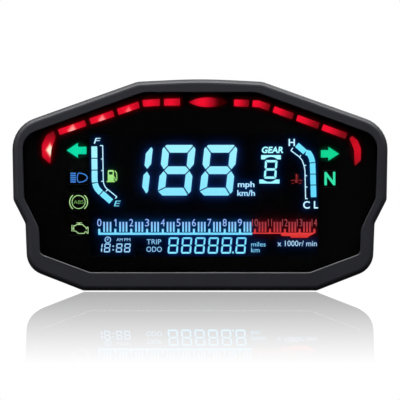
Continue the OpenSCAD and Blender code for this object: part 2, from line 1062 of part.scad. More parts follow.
button_seal(-1);  // button_seal_left
button_seal(1);  // button_seal_right
connector_housing();
connector_pins();
connector_seal();
board_screws();
case_seal();
rear_cover();
mount_inserts();
vent_plug();
cover_screws();
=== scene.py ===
import math
import bpy
import bmesh
import numpy as np
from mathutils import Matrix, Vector, geometry


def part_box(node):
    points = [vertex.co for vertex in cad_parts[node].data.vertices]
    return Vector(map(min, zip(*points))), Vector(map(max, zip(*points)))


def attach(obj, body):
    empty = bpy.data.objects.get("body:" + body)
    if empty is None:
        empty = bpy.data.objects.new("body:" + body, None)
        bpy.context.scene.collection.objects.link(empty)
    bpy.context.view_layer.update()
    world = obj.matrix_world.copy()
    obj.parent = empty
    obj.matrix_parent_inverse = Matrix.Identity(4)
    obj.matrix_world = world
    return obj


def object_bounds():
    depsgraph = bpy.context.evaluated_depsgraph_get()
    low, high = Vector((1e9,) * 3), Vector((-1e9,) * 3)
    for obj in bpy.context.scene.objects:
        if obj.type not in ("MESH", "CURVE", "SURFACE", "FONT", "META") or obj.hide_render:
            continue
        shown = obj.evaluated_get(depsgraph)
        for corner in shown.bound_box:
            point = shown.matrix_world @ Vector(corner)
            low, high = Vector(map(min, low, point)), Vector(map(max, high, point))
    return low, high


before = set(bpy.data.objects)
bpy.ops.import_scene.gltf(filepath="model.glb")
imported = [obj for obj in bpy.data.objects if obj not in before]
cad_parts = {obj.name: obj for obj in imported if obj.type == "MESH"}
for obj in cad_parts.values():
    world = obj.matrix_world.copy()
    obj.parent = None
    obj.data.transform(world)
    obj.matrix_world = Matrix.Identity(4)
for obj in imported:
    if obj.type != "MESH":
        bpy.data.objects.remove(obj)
cad_low, cad_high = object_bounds()
HOUSING = "housing"

# ---- Case front ---------------------------------------------------------------------------
# The bezel is one injection moulding in charcoal ABS with a fine spark-eroded grain.
# Its front edge is rounded.

MM = 0.001


def set_sockets(node, **values):
    for name, value in values.items():
        node.inputs[name.replace("_", " ")].default_value = value


def add(tree, kind, **values):
    """A new shader node of a kind, with some of its sockets set."""
    node = tree.nodes.new("ShaderNode" + kind)
    set_sockets(node, **values)
    return node


def maths(tree, operation, kind="Math"):
    node = add(tree, kind)
    node.operation = operation
    return node


def new_material(name):
    """A material with an empty tree that holds one Principled BSDF."""
    mat = bpy.data.materials.new(name)
    mat.use_nodes = True
    tree = mat.node_tree
    tree.nodes.clear()
    shader = add(tree, "BsdfPrincipled")
    out = add(tree, "OutputMaterial")
    tree.links.new(shader.outputs["BSDF"], out.inputs["Surface"])
    return mat, tree, shader


def new_group(name, inputs, outputs):
    """A shader group whose sockets are given as (name, type, default) and (name, type)."""
    group = bpy.data.node_groups.new(name, "ShaderNodeTree")
    for label, kind, default in inputs:
        socket = group.interface.new_socket(label, in_out="INPUT", socket_type="NodeSocket" + kind)
        socket.default_value = default
    for label, kind in outputs:
        group.interface.new_socket(label, in_out="OUTPUT", socket_type="NodeSocket" + kind)
    return group, group.nodes.new("NodeGroupInput"), group.nodes.new("NodeGroupOutput")


def moulded_surface():
    """Grain height, a tone and a roughness that drift over a moulded plastic part."""
    tree, given, made = new_group(
        "moulded_surface",
        [
            ("Grain Scale", "Float", 2600.0),
            ("Tone Dark", "Color", (0.02, 0.02, 0.024, 1)),
            ("Tone Light", "Color", (0.03, 0.03, 0.036, 1)),
            ("Rough Low", "Float", 0.4),
            ("Rough High", "Float", 0.55),
        ],
        [("Height", "Float"), ("Tone", "Color"), ("Roughness", "Float")],
    )
    place = add(tree, "TexCoord")
    grain = add(tree, "TexNoise", Detail=3.0, Roughness=0.6)
    drift = add(tree, "TexNoise", Scale=55.0, Detail=2.0)
    tone = add(tree, "Mix")
    tone.data_type = "RGBA"
    rough = add(tree, "MapRange")
    join = tree.links.new
    join(place.outputs["Object"], grain.inputs["Vector"])
    join(place.outputs["Object"], drift.inputs["Vector"])
    join(given.outputs["Grain Scale"], grain.inputs["Scale"])
    join(drift.outputs["Fac"], tone.inputs["Factor"])
    join(given.outputs["Tone Dark"], tone.inputs["A"])
    join(given.outputs["Tone Light"], tone.inputs["B"])
    join(grain.outputs["Fac"], rough.inputs["Value"])
    join(given.outputs["Rough Low"], rough.inputs["To Min"])
    join(given.outputs["Rough High"], rough.inputs["To Max"])
    join(grain.outputs["Fac"], made.inputs["Height"])
    join(tone.outputs["Result"], made.inputs["Tone"])
    join(rough.outputs["Result"], made.inputs["Roughness"])
    return tree


MOULDED = moulded_surface()


def moulded_plastic(name, dark, light, rough, grain=2600.0, depth=0.00002, specular=0.5):
    """A grained plastic: two close tones, a roughness range and a bump depth in metres."""
    mat, tree, shader = new_material(name)
    surface = add(tree, "Group")
    surface.node_tree = MOULDED
    set_sockets(
        surface, Grain_Scale=grain, Tone_Dark=(*dark, 1), Tone_Light=(*light, 1),
        Rough_Low=rough[0], Rough_High=rough[1]
    )
    bump = add(tree, "Bump", Strength=0.6, Distance=depth)
    join = tree.links.new
    join(surface.outputs["Tone"], shader.inputs["Base Color"])
    join(surface.outputs["Roughness"], shader.inputs["Roughness"])
    join(surface.outputs["Height"], bump.inputs["Height"])
    join(bump.outputs["Normal"], shader.inputs["Normal"])
    shader.inputs["Specular IOR Level"].default_value = specular
    return mat


def dress(node, mat):
    """Gives a CAD node its finish."""
    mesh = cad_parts[node].data
    mesh.materials.clear()
    mesh.materials.append(mat)


charcoal = moulded_plastic(
    "charcoal_abs", dark=(0.009, 0.0093, 0.0135), light=(0.0125, 0.0128, 0.019), rough=(0.40, 0.52)
)
dress("front_bezel", charcoal)

# ---- Window -------------------------------------------------------------------------------
# The window is a smoked acrylic sheet, hard-coated and glossy, bonded into the bezel from
# behind over a black bead, so that nothing but lit marks shows through it.


def clear_sheet(name, tint, ior, haze_scale=60.0, roughness=(0.01, 0.05)):
    """A clear sheet with a faint haze."""
    mat, tree, shader = new_material(name)
    place = add(tree, "TexCoord")
    haze = add(tree, "TexNoise", Scale=haze_scale, Detail=2.0)
    rough = add(tree, "MapRange", To_Min=roughness[0], To_Max=roughness[1])
    tree.links.new(place.outputs["Object"], haze.inputs["Vector"])
    tree.links.new(haze.outputs["Fac"], rough.inputs["Value"])
    tree.links.new(rough.outputs["Result"], shader.inputs["Roughness"])
    set_sockets(shader, Base_Color=(*tint, 1), Transmission_Weight=1.0, IOR=ior)
    return mat


dress("front_lens", clear_sheet("smoked_acrylic", (0.80, 0.81, 0.82), 1.49, 30.0, (0.0, 0.015)))


def rubber(name, tone, rough):
    return moulded_plastic(name, tone, [1.4 * c for c in tone], rough, grain=1500.0, specular=0.3)


black_rubber = rubber("black_rubber", (0.012, 0.012, 0.013), (0.6, 0.75))
for node in ("lens_seal", "case_seal", "connector_seal", "button_seal_left", "button_seal_right",
             "lcd_contact_strip", "vent_plug"):
    dress(node, black_rubber)

# ---- Mask ---------------------------------------------------------------------------------
# A black screen-printed polycarbonate plate behind the window, cut out for the display and
# for every lamp. Its ink is dead matt.

mask_ink = moulded_plastic(
    "mask_ink", dark=(0.0012, 0.0012, 0.0013), light=(0.002, 0.002, 0.0022),
    rough=(0.8, 0.9), grain=900.0, specular=0.1
)
dress("mask_plate", mask_ink)

# ---- Shift lights -------------------------------------------------------------------------
# Thirteen red translucent windows, each lit by one lamp behind it. On the left the lamps sit
# behind the lower middle of their windows and show as pale hot spots; on the right they sit
# at the near end, so the far end falls off into dark red.

# The evenly bright core of a hot spot, in metres
SPOT_CORE = 0.0009


def lamp_falloff():
    """Brightness and hot spot of a translucent window over the distance from its lamp."""
    tree, given, made = new_group(
        "lamp_falloff",
        [
            ("Lamp", "Vector", (0, 0, 0)),
            ("Reach", "Float", 0.006),
            ("Spot At", "Vector", (0, 0, 0)),
            ("Spot Slope", "Vector", (1, 0, 1)),
            ("Spot Reach", "Float", 0.001),
            ("Body", "Color", (0.8, 0.01, 0.03, 1)),
            ("Far", "Color", (0.2, 0.0, 0.0, 1)),
            ("Hot", "Color", (1, 0.5, 0.4, 1)),
        ],
        [("Glow", "Color")],
    )
    join = tree.links.new
    place = add(tree, "TexCoord")
    away = maths(tree, "DISTANCE", "VectorMath")
    aside = maths(tree, "SUBTRACT", "VectorMath")
    folded = maths(tree, "ABSOLUTE", "VectorMath")
    height = maths(tree, "DOT_PRODUCT", "VectorMath")
    far = add(tree, "MapRange")
    far.interpolation_type = "SMOOTHSTEP"
    near = add(tree, "MapRange")
    near.interpolation_type = "SMOOTHSTEP"
    set_sockets(near, From_Min=SPOT_CORE, To_Min=1.0, To_Max=0.0)
    body = add(tree, "Mix")
    body.data_type = "RGBA"
    spot = add(tree, "Mix")
    spot.data_type = "RGBA"
    join(place.outputs["Object"], away.inputs[0])
    join(given.outputs["Lamp"], away.inputs[1])
    join(place.outputs["Object"], aside.inputs[0])
    join(given.outputs["Spot At"], aside.inputs[1])
    join(aside.outputs["Vector"], folded.inputs[0])
    join(folded.outputs["Vector"], height.inputs[0])
    join(given.outputs["Spot Slope"], height.inputs[1])
    join(away.outputs["Value"], far.inputs["Value"])
    join(given.outputs["Reach"], far.inputs["From Max"])
    join(height.outputs["Value"], near.inputs["Value"])
    join(given.outputs["Spot Reach"], near.inputs["From Max"])
    join(far.outputs["Result"], body.inputs["Factor"])
    join(given.outputs["Body"], body.inputs["A"])
    join(given.outputs["Far"], body.inputs["B"])
    join(near.outputs["Result"], spot.inputs["Factor"])
    join(body.outputs["Result"], spot.inputs["A"])
    join(given.outputs["Hot"], spot.inputs["B"])
    join(spot.outputs["Result"], made.inputs["Glow"])
    return tree


LAMP_FALLOFF = lamp_falloff()


# The smoked window lets this share of the light through
LENS_PASS = 0.62


def lit_window(name, lamp, reach, body, far, spot_at=(0, 0, 0), spot=0.0, hot=(1.0, 0.5, 0.42),
               slope=(1.3, 0, 1.0)):
    """A translucent window lit from behind: its colour near the lamp and far from it, and a
    hot spot of the given reach that narrows upwards."""
    mat, tree, shader = new_material(name)
    glow = add(tree, "Group")
    glow.node_tree = LAMP_FALLOFF
    set_sockets(
        glow, Lamp=lamp, Reach=reach, Spot_At=spot_at, Spot_Slope=slope,
        Spot_Reach=max(spot, SPOT_CORE * 1.1), Body=(*body, 1), Far=(*far, 1), Hot=(*hot, 1)
    )
    tree.links.new(glow.outputs["Glow"], shader.inputs["Emission Color"])
    set_sockets(
        shader, Base_Color=(body[0] * 0.1, body[1] * 0.1, body[2] * 0.1, 1),
        Roughness=0.4, Emission_Strength=1 / LENS_PASS, Specular_IOR_Level=0.2
    )
    return mat


RED_BODY = (0.76, 0.004, 0.024)
RED_END = (0.38, 0.003, 0.012)
RED_DARK = (0.14, 0.002, 0.005)
SHIFT_COUNT = 13
SHIFT_MIDDLE = 7
# Reach and tint of the hot spots in the first windows, which fade towards the middle
HOT_SPOTS = {
    1: (0.0033, (1.0, 0.78, 0.58)), 2: (0.0038, (1.0, 0.32, 0.29)),
    3: (0.0033, (1.0, 0.24, 0.23)), 4: (0.0026, (0.97, 0.12, 0.14))
}

for number in range(1, SHIFT_COUNT + 1):
    node = f"shift_window_{number:02d}"
    low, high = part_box(node)
    width = high.x - low.x
    centre = (low + high) / 2
    body, far, spot_at, slope = RED_BODY, RED_DARK, (0, 0, 0), (1.3, 0, 1.0)
    if number == 1:
        lamp = (centre.x + 0.0006, low.y, low.z + 0.0058)
        reach, spot_at, slope = 0.0082, lamp, (1.4, 0, 0.85)
    elif number < SHIFT_MIDDLE:
        lamp = (centre.x - 0.0010, low.y, centre.z - 0.0004)
        reach, far = width * 0.72, RED_END
        if number in HOT_SPOTS:
            spot_at = (centre.x + 0.0002, low.y, low.z + (high.z - low.z) * 0.29)
    elif number == SHIFT_MIDDLE:
        lamp = (low.x + width * 0.34, low.y, centre.z)
        reach, far = width * 0.52, (0.004, 0, 0)
    elif number < SHIFT_COUNT:
        lamp = (low.x + width * 0.16, low.y, high.z - 0.0012)
        reach = width * 0.85
    else:
        lamp = (centre.x + 0.001, low.y, centre.z + 0.001)
        reach, body = 0.012, (0.52, 0.003, 0.013)
    spot, hot = HOT_SPOTS.get(number, (0.0, (1.0, 0.5, 0.42)))
    dress(node, lit_window(
        f"red_window_{number:02d}", lamp, reach, body, far, spot_at, spot, hot, slope
    ))

# ---- Telltales ----------------------------------------------------------------------------
# The two arrows are coloured windows of their own shape. The other four telltales are black
# printed chips whose symbols are left clear over a coloured film.

GREEN = (0.003, 0.60, 0.31)
INK_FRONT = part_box("mask_plate")[0].y

for node, tone in (("turn_left_window", GREEN), ("turn_right_window", (0.004, 0.56, 0.24))):
    low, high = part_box(node)
    dress(node, lit_window(
        node + "_film", (low + high) / 2, 0.014, tone, [c * 0.6 for c in tone]
    ))
for node in ("high_beam_window", "abs_window", "engine_window", "neutral_window"):
    dress(node, mask_ink)

# Places on the face are given in millimetres: x from the middle, y from the bottom edge.
BOTTOM = cad_low.z


def spot_on_face(p, depth):
    return (p[0] * MM, depth, BOTTOM + p[1] * MM)


def slab(outlines, front, thick):
    """A closed mesh of flat plates. Each outline is a loop of points, or a list of a loop
    and its holes; front is the plates' front face and thick their thickness, in metres."""
    bm = bmesh.new()
    for outline in outlines:
        loops = outline if isinstance(outline[0][0], (tuple, list)) else [outline]
        flat = [p for loop in loops for p in loop]
        tris = geometry.tessellate_polygon([[(x, y, 0) for x, y in loop] for loop in loops])
        near = [bm.verts.new(spot_on_face(p, front)) for p in flat]
        far = [bm.verts.new(spot_on_face(p, front + thick)) for p in flat]
        for a, b, c in tris:
            bm.faces.new((near[a], near[b], near[c]))
            bm.faces.new((far[c], far[b], far[a]))
        start = 0
        for loop in loops:
            n = len(loop)
            for i in range(n):
                a, b = start + i, start + (i + 1) % n
                bm.faces.new((near[a], far[a], far[b], near[b]))
            start += n
    bmesh.ops.recalc_face_normals(bm, faces=bm.faces)
    mesh = bpy.data.meshes.new("plates")
    bm.to_mesh(mesh)
    bm.free()
    return mesh


def joined(name, meshes, mat):
    """One piece on the housing from several meshes."""
    bm = bmesh.new()
    for mesh in meshes:
        bm.from_mesh(mesh)
        bpy.data.meshes.remove(mesh)
    mesh = bpy.data.meshes.new(name)
    bm.to_mesh(mesh)
    bm.free()
    mesh.materials.append(mat)
    piece = bpy.data.objects.new(name, mesh)
    bpy.context.scene.collection.objects.link(piece)
    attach(piece, HOUSING)
    return piece


def arc(centre, r, start, end, steps=24):
    """Points on an arc, with its angles in degrees anticlockwise from +x."""
    turn = [math.radians(start + (end - start) * i / steps) for i in range(steps + 1)]
    return [(centre[0] + r * math.cos(a), centre[1] + r * math.sin(a)) for a in turn]


def circle(centre, r, steps=36):
    return arc(centre, r, 0, 360 * (steps - 1) / steps, steps - 1)


def stroke(points, width, closed=False):
    """The outline of a line of even width through the points. Closed lines give two loops."""
    n = len(points)
    sides = ([], [])
    for i, p in enumerate(points):
        before = points[i - 1] if i or closed else None
        after = points[(i + 1) % n] if i < n - 1 or closed else None
        ways = [
            np.subtract(q, r) / np.linalg.norm(np.subtract(q, r))
            for q, r in ((p, before), (after, p)) if q is not None and r is not None
        ]
        normals = [np.array((-w[1], w[0])) for w in ways]
        mitre = sum(normals) / (1 + normals[0] @ normals[-1]) if len(normals) == 2 else normals[0]
        for side, sign in zip(sides, (1, -1)):
            side.append(tuple(np.array(p) + sign * width / 2 * mitre))
    if closed:
        return [sides[0], sides[1]]
    return sides[0] + sides[1][::-1]


def box_points(x0, y0, x1, y1):
    return [(x0, y0), (x1, y0), (x1, y1), (x0, y1)]


def lettering(text, box, front, thick, heavy=0.0, shear=0.0):
    """Raised lettering that fills a box on the face, as a closed mesh."""
    curve = bpy.data.curves.new("letters", "FONT")
    curve.body = text
    curve.extrude = 0.1
    curve.offset = heavy
    curve.shear = shear
    curve.resolution_u = 5
    holder = bpy.data.objects.new("letters", curve)
    bpy.context.scene.collection.objects.link(holder)
    bpy.context.view_layer.update()
    graph = bpy.context.evaluated_depsgraph_get()
    mesh = bpy.data.meshes.new_from_object(holder.evaluated_get(graph))
    bpy.data.objects.remove(holder)
    bpy.data.curves.remove(curve)
    points = np.array([v.co for v in mesh.vertices])
    low, size = points.min(0), np.ptp(points, axis=0)
    x0, y0, x1, y1 = box
    for v in mesh.vertices:
        u, w, t = (v.co[i] - low[i] for i in range(3))
        x = x0 + (x1 - x0) * u / size[0]
        y = y0 + (y1 - y0) * w / size[1]
        v.co = spot_on_face((x, y), front + thick * (1 - t / size[2]))
    mesh.materials.clear()
    bm = bmesh.new()
    bm.from_mesh(mesh)
    bmesh.ops.remove_doubles(bm, verts=bm.verts, dist=1e-7)
    bmesh.ops.recalc_face_normals(bm, faces=bm.faces)
    bm.to_mesh(mesh)
    bm.free()
    return mesh


def lit_print(name, top, bottom, high_y, low_y):
    """A lit mark whose colour runs from top to bottom between two heights on the face."""
    mat, tree, shader = new_material(name)
    join = tree.links.new
    place = add(tree, "TexCoord")
    parts = add(tree, "SeparateXYZ")
    run = add(tree, "MapRange", From_Min=BOTTOM + low_y * MM, From_Max=BOTTOM + high_y * MM)
    speck = add(tree, "TexNoise", Scale=900.0, Detail=1.0)
    waver = maths(tree, "MULTIPLY_ADD")
    waver.inputs[1].default_value = 0.25
    tone = add(tree, "Mix")
    tone.data_type = "RGBA"
    tone.inputs["A"].default_value = (*bottom, 1)
    tone.inputs["B"].default_value = (*top, 1)
    join(place.outputs["Object"], parts.inputs["Vector"])
    join(place.outputs["Object"], speck.inputs["Vector"])
    join(parts.outputs["Z"], run.inputs["Value"])
    join(speck.outputs["Fac"], waver.inputs[0])
    join(run.outputs["Result"], waver.inputs[2])
    join(waver.outputs["Value"], tone.inputs["Factor"])
    join(tone.outputs["Result"], shader.inputs["Emission Color"])
    set_sockets(
        shader, Base_Color=(0.01, 0.01, 0.01, 1), Roughness=0.5,
        Emission_Strength=1 / LENS_PASS, Specular_IOR_Level=0.1
    )
    return mat


FILM_T = 0.00006
TELLTALE_FRONT = INK_FRONT - FILM_T - 0.00002


def high_beam_symbol():
    """A lamp seen from the side with five rays."""
    lamp = [
        (-54.8, 51.8), (-55.0, 50.5), (-54.8, 49.2), (-54.2, 48.4), (-52.5, 48.7),
        (-51.0, 49.4), (-50.4, 50.5), (-51.0, 51.6), (-52.5, 52.3), (-54.2, 52.6)
    ]
    rays = [box_points(-58.0, y, -55.6, y + 0.6) for y in np.linspace(48.3, 52.1, 5)]
    return [stroke(lamp, 0.42, closed=True)] + rays


def abs_symbol():
    """A ring between two brackets."""
    middle = (-54.35, 39.6)
    ring = [circle(middle, 3.1), circle(middle, 2.78)]
    left = stroke(arc(middle, 4.0, 130, 230), 0.42)
    right = stroke(arc(middle, 4.0, 50, -50), 0.42)
    return [ring, left, right]


def engine_symbol():
    """The outline of an engine block with its cap, intake and flywheel."""
    body = [
        (-56.5, 29.0), (-55.8, 29.0), (-55.2, 29.55), (-52.6, 29.55), (-51.9, 28.8),
        (-51.1, 28.3), (-50.9, 27.6), (-50.5, 28.3), (-50.1, 28.3), (-50.1, 25.6), (-50.5, 25.6),
        (-50.9, 26.3), (-51.4, 26.3), (-51.8, 25.55), (-54.5, 25.55), (-55.5, 26.5), (-56.5, 26.7)
    ]
    cap = box_points(-55.3, 30.1, -52.8, 30.4)
    stem = box_points(-54.4, 29.6, -53.8, 30.2)
    intake = box_points(-57.5, 26.4, -57.15, 29.3)
    pipe = box_points(-57.2, 27.5, -56.5, 27.85)
    return [stroke(body, 0.34, closed=True), cap, stem, intake, pipe]


joined(
    "high_beam_symbol", [slab(high_beam_symbol(), TELLTALE_FRONT, FILM_T)],
    lit_print("high_beam_blue", (0.045, 0.20, 0.60), (0.045, 0.18, 0.56), 53, 48)
)
joined(
    "abs_symbol", [slab(abs_symbol(), TELLTALE_FRONT, FILM_T)],
    lit_print("abs_lime", (0.38, 0.64, 0.26), (0.28, 0.50, 0.20), 43, 36)
)
joined(
    "abs_letters", [lettering("ABS", (-56.6, 38.75, -52.1, 40.4), TELLTALE_FRONT, FILM_T)],
    lit_print("abs_dim_lime", (0.12, 0.28, 0.07), (0.10, 0.26, 0.06), 40.4, 38.7)
)
joined(
    "engine_symbol", [slab(engine_symbol(), TELLTALE_FRONT, FILM_T)],
    lit_print("engine_lime", (0.40, 0.62, 0.28), (0.32, 0.52, 0.22), 31, 25)
)
joined(
    "neutral_symbol",
    [lettering("N", (55.7, 47.1, 60.6, 53.1), TELLTALE_FRONT, FILM_T, heavy=0.03)],
    lit_print("neutral_green", (0.03, 0.62, 0.32), (0.03, 0.66, 0.34), 53, 47)
)

# ---- Display marks ------------------------------------------------------------------------
# The liquid crystal lets the backlight through only where a mark is switched on. Each mark is
# a thin plate just in front of the polariser, and its colour comes from the printed filter.

LCD_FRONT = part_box("front_polariser")[0].y
MARK_T = 0.00008
MARK_FRONT = LCD_FRONT - 0.00012

# Outlines round which a painted glow lies, with its colour and the share of it that they give
glow_sources = []
LETTER_SHARE = 0.55


def display_marks(name, outlines, mat, letters=(), glow=(0.0, 0.012, 0.060)):
    """Lit marks on the display. letters are (text, box, heavy, shear)."""
    meshes = [slab(outlines, MARK_FRONT, MARK_T)] if outlines else []
    for text, box, heavy, shear in letters:
        meshes.append(lettering(text, box, MARK_FRONT, MARK_T, heavy, shear))
        glow_sources.append((box_points(*box), glow, LETTER_SHARE))
    for outline in outlines:
        loop = outline if not isinstance(outline[0][0], (tuple, list)) else outline[0]
        glow_sources.append((loop, glow, 1.0))
    return joined(name, meshes, mat)


def shrunk(points, d):
    """A convex loop, anticlockwise, moved inwards by d."""
    n = len(points)
    out = []
    for i in range(n):
        p, q, r = (np.array(points[(i + k) % n], float) for k in (-1, 0, 1))
        u, w = (q - p) / np.linalg.norm(q - p), (r - q) / np.linalg.norm(r - q)
        a, b = np.array((-u[1], u[0])), np.array((-w[1], w[0]))
        out.append(tuple(q + d * (a + b) / (1 + a @ b)))
    return out


def seven_bar(x, y, w, h, bar, gap, lean, lit="abcdefg"):
    """One seven-bar digit: its lower left corner, size, bar widths (side, level) and lean."""
    side, level = bar
    c = 0.085 * h if h > 12 else 0.07 * h
    mid, notch = h / 2, level / 2
    left_tip, right_tip = (side / 2, mid), (w - side / 2, mid)
    inner = {
        "tl": (side, h - level), "tr": (w - side, h - level),
        "ml": (side, mid + notch), "mr": (w - side, mid + notch),
        "nl": (side, mid - notch), "nr": (w - side, mid - notch),
        "bl": (side, level), "br": (w - side, level),
    }
    tl, tr = (c * 0.45, h - c * 0.4), (w - c * 0.6, h - c * 0.3)
    br, bl = (w - c * 0.6, c * 0.3), (0.0, c * 1.1)
    ear = notch + side * 0.16
    bars = {
        "a": [tl, inner["tl"], inner["tr"], tr, (w - c, h), (c, h)],
        "b": [tr, inner["tr"], inner["mr"], right_tip, (w, mid + ear), (w, h - c)],
        "g": [left_tip, inner["nl"], inner["nr"], right_tip, inner["mr"], inner["ml"]],
        "c": [right_tip, inner["nr"], inner["br"], br, (w, c), (w, mid - ear)],
        "d": [bl, (c * 1.2, 0), (w - c, 0), br, inner["br"], inner["bl"]],
        "e": [left_tip, (0, mid - ear), bl, inner["bl"], inner["nl"]],
        "f": [left_tip, inner["ml"], inner["tl"], tl, (0, h - c), (0, mid + ear)],
    }
    made = []
    for key in lit:
        loop = bars[key]
        area = sum(
            p[0] * q[1] - q[0] * p[1] for p, q in zip(loop, loop[1:] + loop[:1])
        )
        loop = shrunk(loop if area > 0 else loop[::-1], gap / 2)
        made.append([(x + px + py * lean, y + py) for px, py in loop])
    return made


LEAN = 0.11

# Speed: three large digits, the first only ever a one
SPEED_W, SPEED_H, SPEED_PITCH = 15.3, 23.2, 18.7
SPEED_AT = (-19.4, 42.25)
speed_marks = seven_bar(
    SPEED_AT[0] - SPEED_PITCH - 0.3, SPEED_AT[1], SPEED_W, SPEED_H, (3.65, 4.0), 0.8, LEAN, "bc"
)
for i in range(2):
    speed_marks += seven_bar(
        SPEED_AT[0] + i * SPEED_PITCH, SPEED_AT[1], SPEED_W, SPEED_H, (3.65, 4.0), 0.55, LEAN
    )
display_marks(
    "speed_digits", speed_marks,
    lit_print("speed_cyan", (0.29, 0.74, 0.86), (0.18, 0.64, 0.81), 66, 42),
    glow=(0.004, 0.022, 0.11)
)

PALE = (0.42, 0.72, 0.92)
unit_print = lit_print("unit_cyan", PALE, (0.30, 0.62, 0.90), 49, 42)
display_marks(
    "speed_units", [], unit_print,
    letters=[
        ("mph", (16.9, 45.5, 24.4, 48.8), 0.02, 0.0), ("km/h", (16.7, 42.3, 24.6, 45.0), 0.02, 0.0)
    ]
)

# Gear: a label, a small digit and a notched bar above and below it


def notched_bar(x0, y0, x1, y1, centre, r, above):
    """A bar with a shallow round notch towards the digit. centre is the notch's centre."""
    edge = y0 if above else y1
    rise = abs(edge - centre[1])
    a = math.degrees(math.asin(rise / r))
    if above:
        return [(x0, y0)] + arc(centre, r, 180 - a, a, 12) + [(x1, y0), (x1, y1), (x0, y1)]
    return [(x0, y0), (x1, y0), (x1, y1)] + arc(centre, r, -a, a - 180, 12) + [(x0, y1)]


gear_marks = seven_bar(28.4, 49.9, 5.8, 8.6, (1.15, 1.25), 0.22, 0.08)
gear_marks.append(notched_bar(27.4, 58.7, 36.2, 60.6, (31.8, 55.6), 4.25, True))
gear_marks.append(notched_bar(26.6, 47.9, 35.6, 49.7, (31.0, 52.9), 4.25, False))
display_marks(
    "gear_marks", gear_marks,
    lit_print("gear_cyan", (0.36, 0.88, 0.98), (0.28, 0.80, 0.97), 61, 47),
    letters=[("GEAR", (27.7, 61.5, 37.3, 64.4), 0.03, 0.15)]
)

# Fuel gauge: a bent bar in five steps, a scale line with ticks, its letters and a pump


def along(points, start, end):
    """The part of a line of points between two distances from its start."""
    out, gone = [], 0.0
    for p, q in zip(points, points[1:]):
        p, q = np.array(p, float), np.array(q, float)
        step = np.linalg.norm(q - p)
        for d in (max(start - gone, 0.0), min(end - gone, step)):
            if -1e-9 <= d <= step + 1e-9 and gone + step > start and gone < end:
                s = tuple(p + (q - p) * d / step)
                if not out or np.linalg.norm(np.subtract(s, out[-1])) > 1e-6:
                    out.append(s)
        gone += step
    return out


def line_length(points):
    return sum(np.linalg.norm(np.subtract(q, p)) for p, q in zip(points, points[1:]))


def stepped_bar(points, width, breaks, gap):
    """A wide line cut into steps at the given distances along it."""
    ends = [0.0] + list(breaks) + [line_length(points)]
    return [
        stroke(along(points, a + (gap / 2 if a else 0), b - gap / 2), width)
        for a, b in zip(ends, ends[1:])
    ]


fuel_bend = arc((-40.2, 49.4), 6.95, 184, 226, 8)[1:]
fuel_path = [(-47.35, 64.5), (-47.2, 49.6)] + fuel_bend + [(-39.6, 39.7)]
fuel_bar = stepped_bar(fuel_path, 2.6, (5.3, 10.6, 16.3, 21.8), 0.45)
scale_bend = arc((-37.9, 49.3), 5.4, 184, 222, 6)[1:]
fuel_scale_path = [(-43.6, 65.0), (-43.35, 49.6)] + scale_bend + [(-37.2, 41.9)]
LINE = 0.42
fuel_scale = [stroke(fuel_scale_path, LINE)]
for x, y in ((-43.5, 64.9), (-43.45, 58.9), (-43.4, 53.7), (-43.35, 48.9)):
    fuel_scale.append(box_points(x - 1.3 if y > 60 else x - 0.9, y - LINE / 2, x, y + LINE / 2))
fuel_scale.append(stroke([(-42.2, 44.4), (-41.4, 45.1)], LINE))
fuel_scale.append(stroke([(-38.0, 41.2), (-37.2, 41.9)], LINE))
display_marks(
    "fuel_bar", fuel_bar,
    lit_print("fuel_cyan", (0.34, 0.77, 0.89), (0.12, 0.63, 0.84), 65, 39)
)
display_marks(
    "fuel_scale", fuel_scale,
    lit_print("scale_pale", (0.50, 0.78, 0.92), (0.38, 0.70, 0.88), 65, 40),
    letters=[("F", (-47.6, 65.8, -44.5, 68.3), 0.0, 0.2)]
)
display_marks(
    "fuel_empty_letter", [],
    lit_print("empty_cyan", (0.16, 0.58, 0.76), (0.155, 0.57, 0.75), 40, 38),
    letters=[("E", (-38.6, 37.7, -35.5, 40.2), 0.0, 0.2)]
)


def pump_symbol():
    """A filling-station pump with its hose."""
    cabinet = [
        [(-41.3, 49.0), (-38.6, 49.0), (-38.6, 53.5), (-39.0, 53.9), (-40.9, 53.9), (-41.3, 53.5)],
        box_points(-40.8, 51.9, -39.1, 53.2)
    ]
    foot = box_points(-41.8, 48.5, -38.1, 49.0)
    hose = stroke(
        [(-38.6, 50.9), (-38.25, 50.8), (-38.1, 50.2), (-37.95, 49.4), (-37.55, 49.3),
         (-37.25, 49.8), (-37.3, 51.2), (-37.4, 52.6), (-38.15, 53.6)], 0.36
    )
    return [cabinet, foot, hose]


display_marks(
    "fuel_pump_symbol", pump_symbol(),
    lit_print("pump_lime", (0.36, 0.72, 0.22), (0.24, 0.60, 0.14), 54, 48),
    glow=(0.004, 0.02, 0.008)
)

# Temperature gauge: the same on the other side, with a thermometer in water
temp_bend = arc((41.6, 56.3), 8.85, 42, 4, 6)[1:]
temp_path = [(43.4, 65.2), (47.1, 61.9)] + temp_bend + [(50.6, 51.7), (50.9, 41.6)]
temp_bar = stepped_bar(temp_path, 2.45, (5.1, 11.3, 16.4, 21.3), 0.4)
temp_scale_path = [
    (40.7, 62.7), (44.4, 59.9), (45.8, 58.2), (46.5, 56.2), (47.0, 54.0), (47.3, 40.9)
]
temp_scale = [stroke(temp_scale_path, LINE)]
temp_scale.append(stroke([(40.7, 62.7), (41.6, 63.8)], LINE))
temp_scale.append(stroke([(44.6, 59.7), (45.2, 60.6)], LINE))
for x, y in ((46.6, 56.0), (47.05, 51.4), (47.15, 46.3), (47.3, 41.1)):
    temp_scale.append(box_points(x, y - LINE / 2, x + 0.95, y + LINE / 2))
display_marks(
    "temperature_bar", temp_bar,
    lit_print("temperature_cyan", (0.14, 0.65, 0.88), (0.10, 0.56, 0.83), 66, 41)
)
